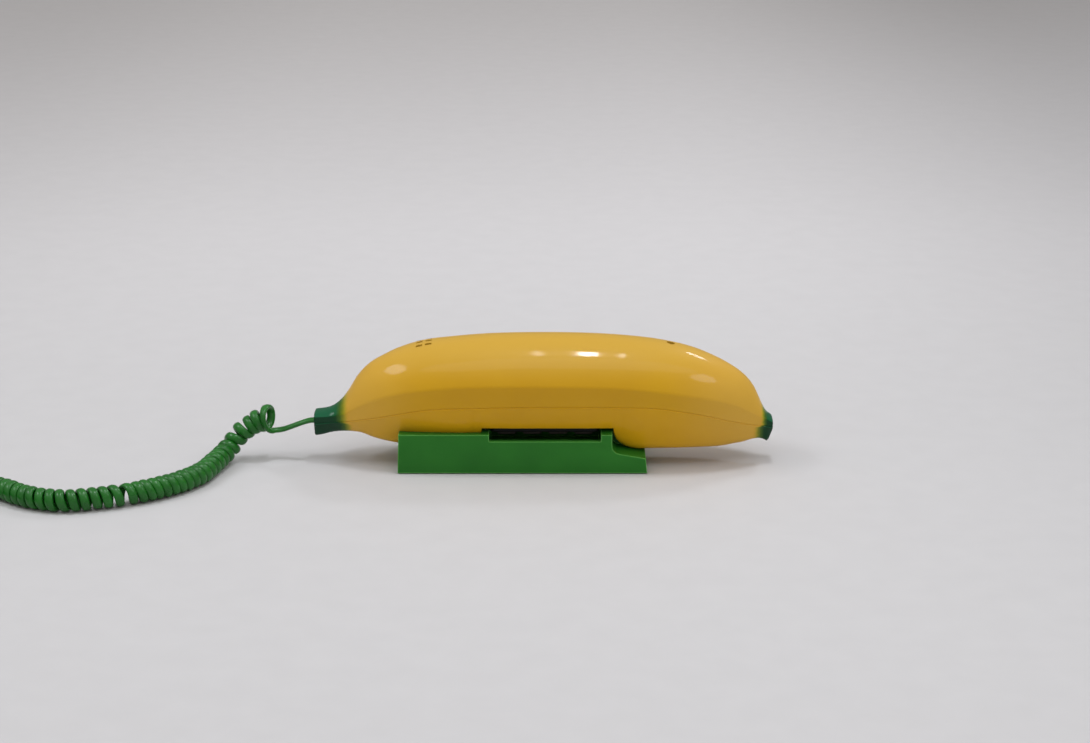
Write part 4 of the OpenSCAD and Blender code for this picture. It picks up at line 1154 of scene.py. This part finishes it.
def banana_skin(name, painted_lift):
    """Yellow plastic, sprayed green at both ends, with painted sheen and light; the second argument
    is 1 for the back shell, and above 1 lightens the yellow as painted light for the face shell,
    whose sides lean away from the light
    """
    m = Material(name)
    x, _, z = m.xyz()
    mist = m.math("SUBTRACT", m.noise(520, 4).outputs[0], 0.5)
    cloud = m.noise(30, 4)
    body = m.steps(
        cloud, [(0.25, rgb(195 * painted_lift, 146 * painted_lift, 16)), (0.75, rgb(203 * painted_lift, 155 * painted_lift, 22))]
    )
    # painted sheen: a paler, greyer yellow towards the crown stands in for the reflection there
    body = m.mix(smooth_map(m, z, *CROWN_SHEEN_Z, 0.9), body, rgb(198, 156, 56))
    away = m.math("ABSOLUTE", x)
    body = m.mix(smooth_map(m, away, *PALE_ENDS_X, 0.5), body, rgb(214, 170, 78))
    misty = m.math("MULTIPLY_ADD", mist, PAINT_MIST, x)
    face = m.node("ShaderNodeSeparateXYZ")
    m.link(m.node("ShaderNodeNewGeometry"), "Normal", face, 0)
    upward = face.outputs["Z"]

    def paint(under, seam, above, below):
        """Paint over the colour under it, each side of the seam from full to gone along x"""
        sides = [smooth_map(m, misty, *ends, kind="LINEAR") for ends in (above, below)]
        side = smooth_map(m, z, seam + PAINT_STEP, seam - PAINT_STEP)
        more = m.math("MULTIPLY", side, m.math("SUBTRACT", sides[1], sides[0]))
        along = m.math("ADD", sides[0], more)
        thin = [(0.5, rgb(66, 98, 20)), (0.75, rgb(150, 146, 26)), (1.0, rgb(204, 156, 24))]
        thick = m.steps(along, [(0.0, rgb(2, 56, 30)), (0.3, rgb(6, 62, 24))] + thin)
        # painted light: the green paint is lighter on faces turned up, standing in for the light
        # and highlight on the top facets
        painted_top_light = m.steps(along, [(0.0, rgb(8, 84, 52)), (0.3, rgb(12, 86, 44))] + thin)
        paint_with_painted_light = m.mix(smooth_map(m, upward, 0.3, 0.6), thick, painted_top_light)
        return m.mix(smooth_map(m, along, 1.0, 0.6), under, paint_with_painted_light)

    m.colour(paint(paint(body, *STEM_PAINT), *TIP_PAINT))
    m.rough(m.noise(90, 3), 0.36, 0.12)
    m.set(Specular_IOR_Level=0.08, Coat_Weight=0.3, Coat_Roughness=0.07)
    m.bump(m.noise(420, 3), 0.03, 0.0004)
    return m.mat


def cord_vinyl():
    m = Material("cord_vinyl")
    drift = m.noise(120, 3)
    m.colour(m.steps(drift, [(0.3, rgb(18, 88, 20)), (0.7, rgb(30, 108, 30))]))
    m.rough(m.noise(300, 2), 0.22, 0.14)
    m.set(Specular_IOR_Level=0.36)
    m.bump(m.noise(1500, 2), 0.04, 0.0001)
    return m.mat


EDGE_HIGHLIGHT_REACH = 0.0009  # metres from the stand's edges that their painted highlight reaches


def stand_plastic():
    """Green plastic with a painted highlight: its edges are a little paler, where they catch the
    light
    """
    m = Material("stand_green")
    drift = m.noise(40, 3)
    body = m.steps(drift, [(0.3, rgb(31, 103, 27)), (0.7, rgb(37, 113, 31))])
    soft = m.node("ShaderNodeBevel")
    soft.inputs["Radius"].default_value = EDGE_HIGHLIGHT_REACH
    real = m.node("ShaderNodeNewGeometry")
    both = m.node("ShaderNodeVectorMath", operation="DOT_PRODUCT")
    m.link(soft, "Normal", both, 0)
    m.link(real, "True Normal", both, 1)
    edge_highlight = smooth_map(m, both.outputs["Value"], 0.99, 0.8, 0.8)
    # painted highlight: a paler green on the edges, where the rounded normal leaves the true one
    m.colour(m.mix(edge_highlight, body, rgb(116, 190, 96)))
    m.rough(m.noise(175, 3), 0.32, 0.16)
    m.set(Specular_IOR_Level=SHEEN)
    m.bump(m.noise(700, 2), 0.05, 0.0002)
    return m.mat


def clear_plastic():
    m = plastic("plug_clear", rgb(228, 232, 236), rgb(218, 224, 230), 0.16, 900, 0.02)
    shader = next(n for n in m.node_tree.nodes if n.type == "BSDF_PRINCIPLED")
    shader.inputs["Transmission Weight"].default_value = 0.75
    shader.inputs["IOR"].default_value = 1.49
    return m


def make_materials():
    return {
        "skin": banana_skin("banana_yellow", 1),
        # painted light: the face shell's yellow is made lighter, since its sides lean down away
        # from the light
        "face_skin_painted_light": banana_skin("banana_yellow_face_painted_light", 1.08),
        "green": stand_plastic(),
        "cord": cord_vinyl(),
        "foot": plastic("foot_rubber", rgb(36, 36, 36), rgb(26, 26, 26), 0.8, 1100, 0.15),
        "frame": plastic("black_plastic", rgb(24, 23, 23), rgb(16, 16, 16), 0.5, 1600, 0.08),
        "key": plastic("key_grey", rgb(66, 62, 57), rgb(58, 55, 51), 0.5, 1600, 0.06),
        "ink": plastic("mark_white", rgb(222, 220, 212), rgb(210, 208, 200), 0.45, 1600, 0.03),
        "mat": plastic("mat_silicone", rgb(184, 184, 174), rgb(172, 172, 164), 0.65, 800, 0.05),
        "board": plastic("board_laminate", rgb(62, 98, 46), rgb(52, 86, 40), 0.4, 500, 0.1, 200),
        "parts": plastic("component_black", rgb(36, 36, 38), rgb(28, 28, 30), 0.45, 1200, 0.05),
        "steel": metal("bright_steel", rgb(190, 192, 196), 0.32),
        "capsule": plastic("capsule_grey", rgb(96, 97, 99), rgb(86, 87, 89), 0.5, 1200, 0.05),
        "can": metal("capsule_metal", rgb(198, 200, 202), 0.35),
        "rubber": plastic("black_rubber", rgb(30, 30, 31), rgb(22, 22, 23), 0.75, 1200, 0.15),
        "brass": metal("brass_disc", rgb(206, 168, 84), 0.3),
        "iron": metal("ballast_iron", rgb(104, 104, 106), 0.6, (150, 150, 150)),
        "wire": plastic("wire_red", rgb(150, 34, 28), rgb(134, 28, 24), 0.4, 900, 0.03),
        "clear": clear_plastic(),
        "gilt": metal("gilt_blades", rgb(216, 170, 78), 0.25),
    }


CAD_FINISHES = {
    "mat": ["key_mat"],
    "board": ["circuit_board"],
    "parts": ["board_components"],
    "steel": ["board_screws", "hook_spring", "slide_switches", "weight_screws", "shell_screws"],
    "capsule": ["receiver_capsule"],
    "rubber": ["receiver_gasket", "microphone_boot"],
    "can": ["microphone_capsule"],
    "frame": ["ringer_holder", "hook_plunger", "hook_switch", "ringer_slider", "mode_slider"],
    "brass": ["ringer_disc"],
    "iron": ["ballast_weight"],
    "cord": ["cord_grommet"],
    "wire": ["wiring"],
}


def finish_cad_nodes(mats):
    for key, nodes in CAD_FINISHES.items():
        for obj in (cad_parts[node] for node in nodes):
            if not obj.material_slots:
                obj.data.materials.append(mats[key])
            for slot in obj.material_slots:
                slot.material = mats[key]


# ---- floor and light
TABLE_CORNERS = [(-5, -3, 0), (5, -3, 0), (5, 7, 0), (-5, 7, 0)]  # metres


def make_floor():
    """Pale table with painted light and shade: its colour falls off slowly away from the middle of
    the picture, and is lighter further back
    """
    mesh = bpy.data.meshes.new("table")
    mesh.from_pydata(TABLE_CORNERS, [], [(0, 1, 2, 3)])
    floor = bpy.data.objects.new("table", mesh)
    bpy.context.collection.objects.link(floor)
    m = Material("table_white")
    x, y, _ = m.xyz()
    # painted light: lighter further back; painted shade: darker to the right and to the left
    near = smooth_map(m, y, 0.0, 0.55)
    painted_depth_light = m.mix(near, rgb(198, 196, 196.5), rgb(210.5, 208, 209))
    far = m.math("MULTIPLY", smooth_map(m, x, 0.08, 0.55, 0.28), smooth_map(m, y, -1.0, 0.9))
    left = m.math("MULTIPLY", smooth_map(m, x, -0.2, -0.6, 0.12), near)
    painted_falloff = m.mix(m.math("ADD", far, left), painted_depth_light, rgb(20, 18, 24))
    speck = m.noise(60, 4)
    shade = m.steps(speck, [(0.3, rgb(252, 252, 252)), (0.7, rgb(255, 255, 255))])
    m.colour(m.mix(1.0, painted_falloff, shade, "MULTIPLY"))
    m.set(Roughness=0.75, Specular_IOR_Level=0.2)
    floor.data.materials.append(m.mat)


SKY_LEVEL = 0.337
SKY_OVERHEAD = 0.36
SKY_FRONT = 0.16
SKY_COLOUR = (1.0, 0.975, 0.945, 1)
LAMP_COLOUR = (0.96, 1.0, 1.06)
LAMPS_AIM = Vector((0, 0, 0.05))
# (name, place, size, energy): tubes straight above, and round soft lamps around the object
TUBES = [
    ("lamp_over_left", (-0.012, -0.03, 1.2), (0.012, 0.22), 0.25),
    ("lamp_over_middle", (0.10, -0.03, 1.2), (0.05, 0.22), 2.8),
    ("lamp_over_right", (0.21, -0.03, 1.2), (0.016, 0.22), 0.38),
]
SOFT_LAMPS = [
    ("lamp_front", (0.1, -0.5, 1.2), (1.6, 0.5), 2.2),
    ("lamp_right_back", (0.77, 0.9, 1.2), (0.36, 0.18), 3.4),
    ("lamp_right_front", (1.15, -0.6, 1.2), (0.55, 0.4), 2.7),
    ("lamp_left_soft", (-1.02, -0.15, 1.2), (0.75, 0.36), 4.9),
]


def area_lamp(name, place, size, energy, shape):
    data = bpy.data.lights.new(name, "AREA")
    data.shape = shape
    data.size, data.size_y = size
    data.energy = energy
    data.color = LAMP_COLOUR
    lamp = bpy.data.objects.new(name, data)
    bpy.context.collection.objects.link(lamp)
    lamp.location = place
    return lamp


def make_light():
    world = bpy.data.worlds.new("studio")
    world.use_nodes = True
    tree = world.node_tree
    sky = tree.nodes["Background"]
    sky.inputs["Color"].default_value = SKY_COLOUR
    # Brighter overhead than at the horizon, as a room with a pale ceiling is, and brighter
    # in front of the object than behind it
    coords = tree.nodes.new("ShaderNodeTexCoord")
    axes = tree.nodes.new("ShaderNodeSeparateXYZ")
    tree.links.new(coords.outputs["Generated"], axes.inputs[0])
    strength = SKY_LEVEL
    for axis, share in (("Z", SKY_OVERHEAD), ("Y", -SKY_FRONT)):
        part = tree.nodes.new("ShaderNodeMath")
        part.operation = "MULTIPLY_ADD"
        tree.links.new(axes.outputs[axis], part.inputs[0])
        part.inputs[1].default_value = share
        feed(tree, strength, part.inputs[2])
        strength = part.outputs[0]
    tree.links.new(strength, sky.inputs["Strength"])
    bpy.context.scene.world = world
    for lamp in TUBES:
        area_lamp(*lamp, "RECTANGLE")
    for lamp in SOFT_LAMPS:
        aim = LAMPS_AIM - Vector(lamp[1])
        area_lamp(*lamp, "ELLIPSE").rotation_euler = aim.to_track_quat("-Z", "Y").to_euler()
    bpy.context.scene.view_settings.view_transform = "Standard"


# ---- assembly
make_camera()
make_floor()
make_light()
finishes = make_materials()

cord_piece, cord_line, cord_length = make_cord()
cord_piece.data.materials.append(finishes["cord"])
plug_pieces = make_plug(finishes["clear"], finishes["gilt"])
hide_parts("cord_tail", "cord_coil", "cord_lead")
for plug_piece, plug_node in zip(plug_pieces, ("plug_body", "plug_latch", "plug_contacts")):
    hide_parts(plug_node)
    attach(plug_piece, "base")
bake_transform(cord_piece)

for piece, node, body, finish, slot in (
    (make_back_shell(), "back_shell", "handset", "skin", "yellow_plastic"),
    (make_face_shell(), "face_shell", "handset", "face_skin_painted_light", "yellow_plastic"),
    (make_bezel(), "keypad_bezel", "handset", "frame", "dark_plastic"),
    (make_stand(), "base_shell", "base", "green", "green_plastic"),
    (make_feet(), "base_feet", "base", "foot", "foot_rubber"),
):
    piece.data.materials.append(finishes[finish])
    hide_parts(node)
    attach(piece, body)

for col in range(3):
    for row in range(4):
        cap = make_key(col, row, finishes["key"], finishes["ink"])
        name = "key_" + KEY_ROWS[col][row]
        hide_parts(name)
        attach(cap, name)

finish_cad_nodes(finishes)

print("cord length", round(cord_length, 4))
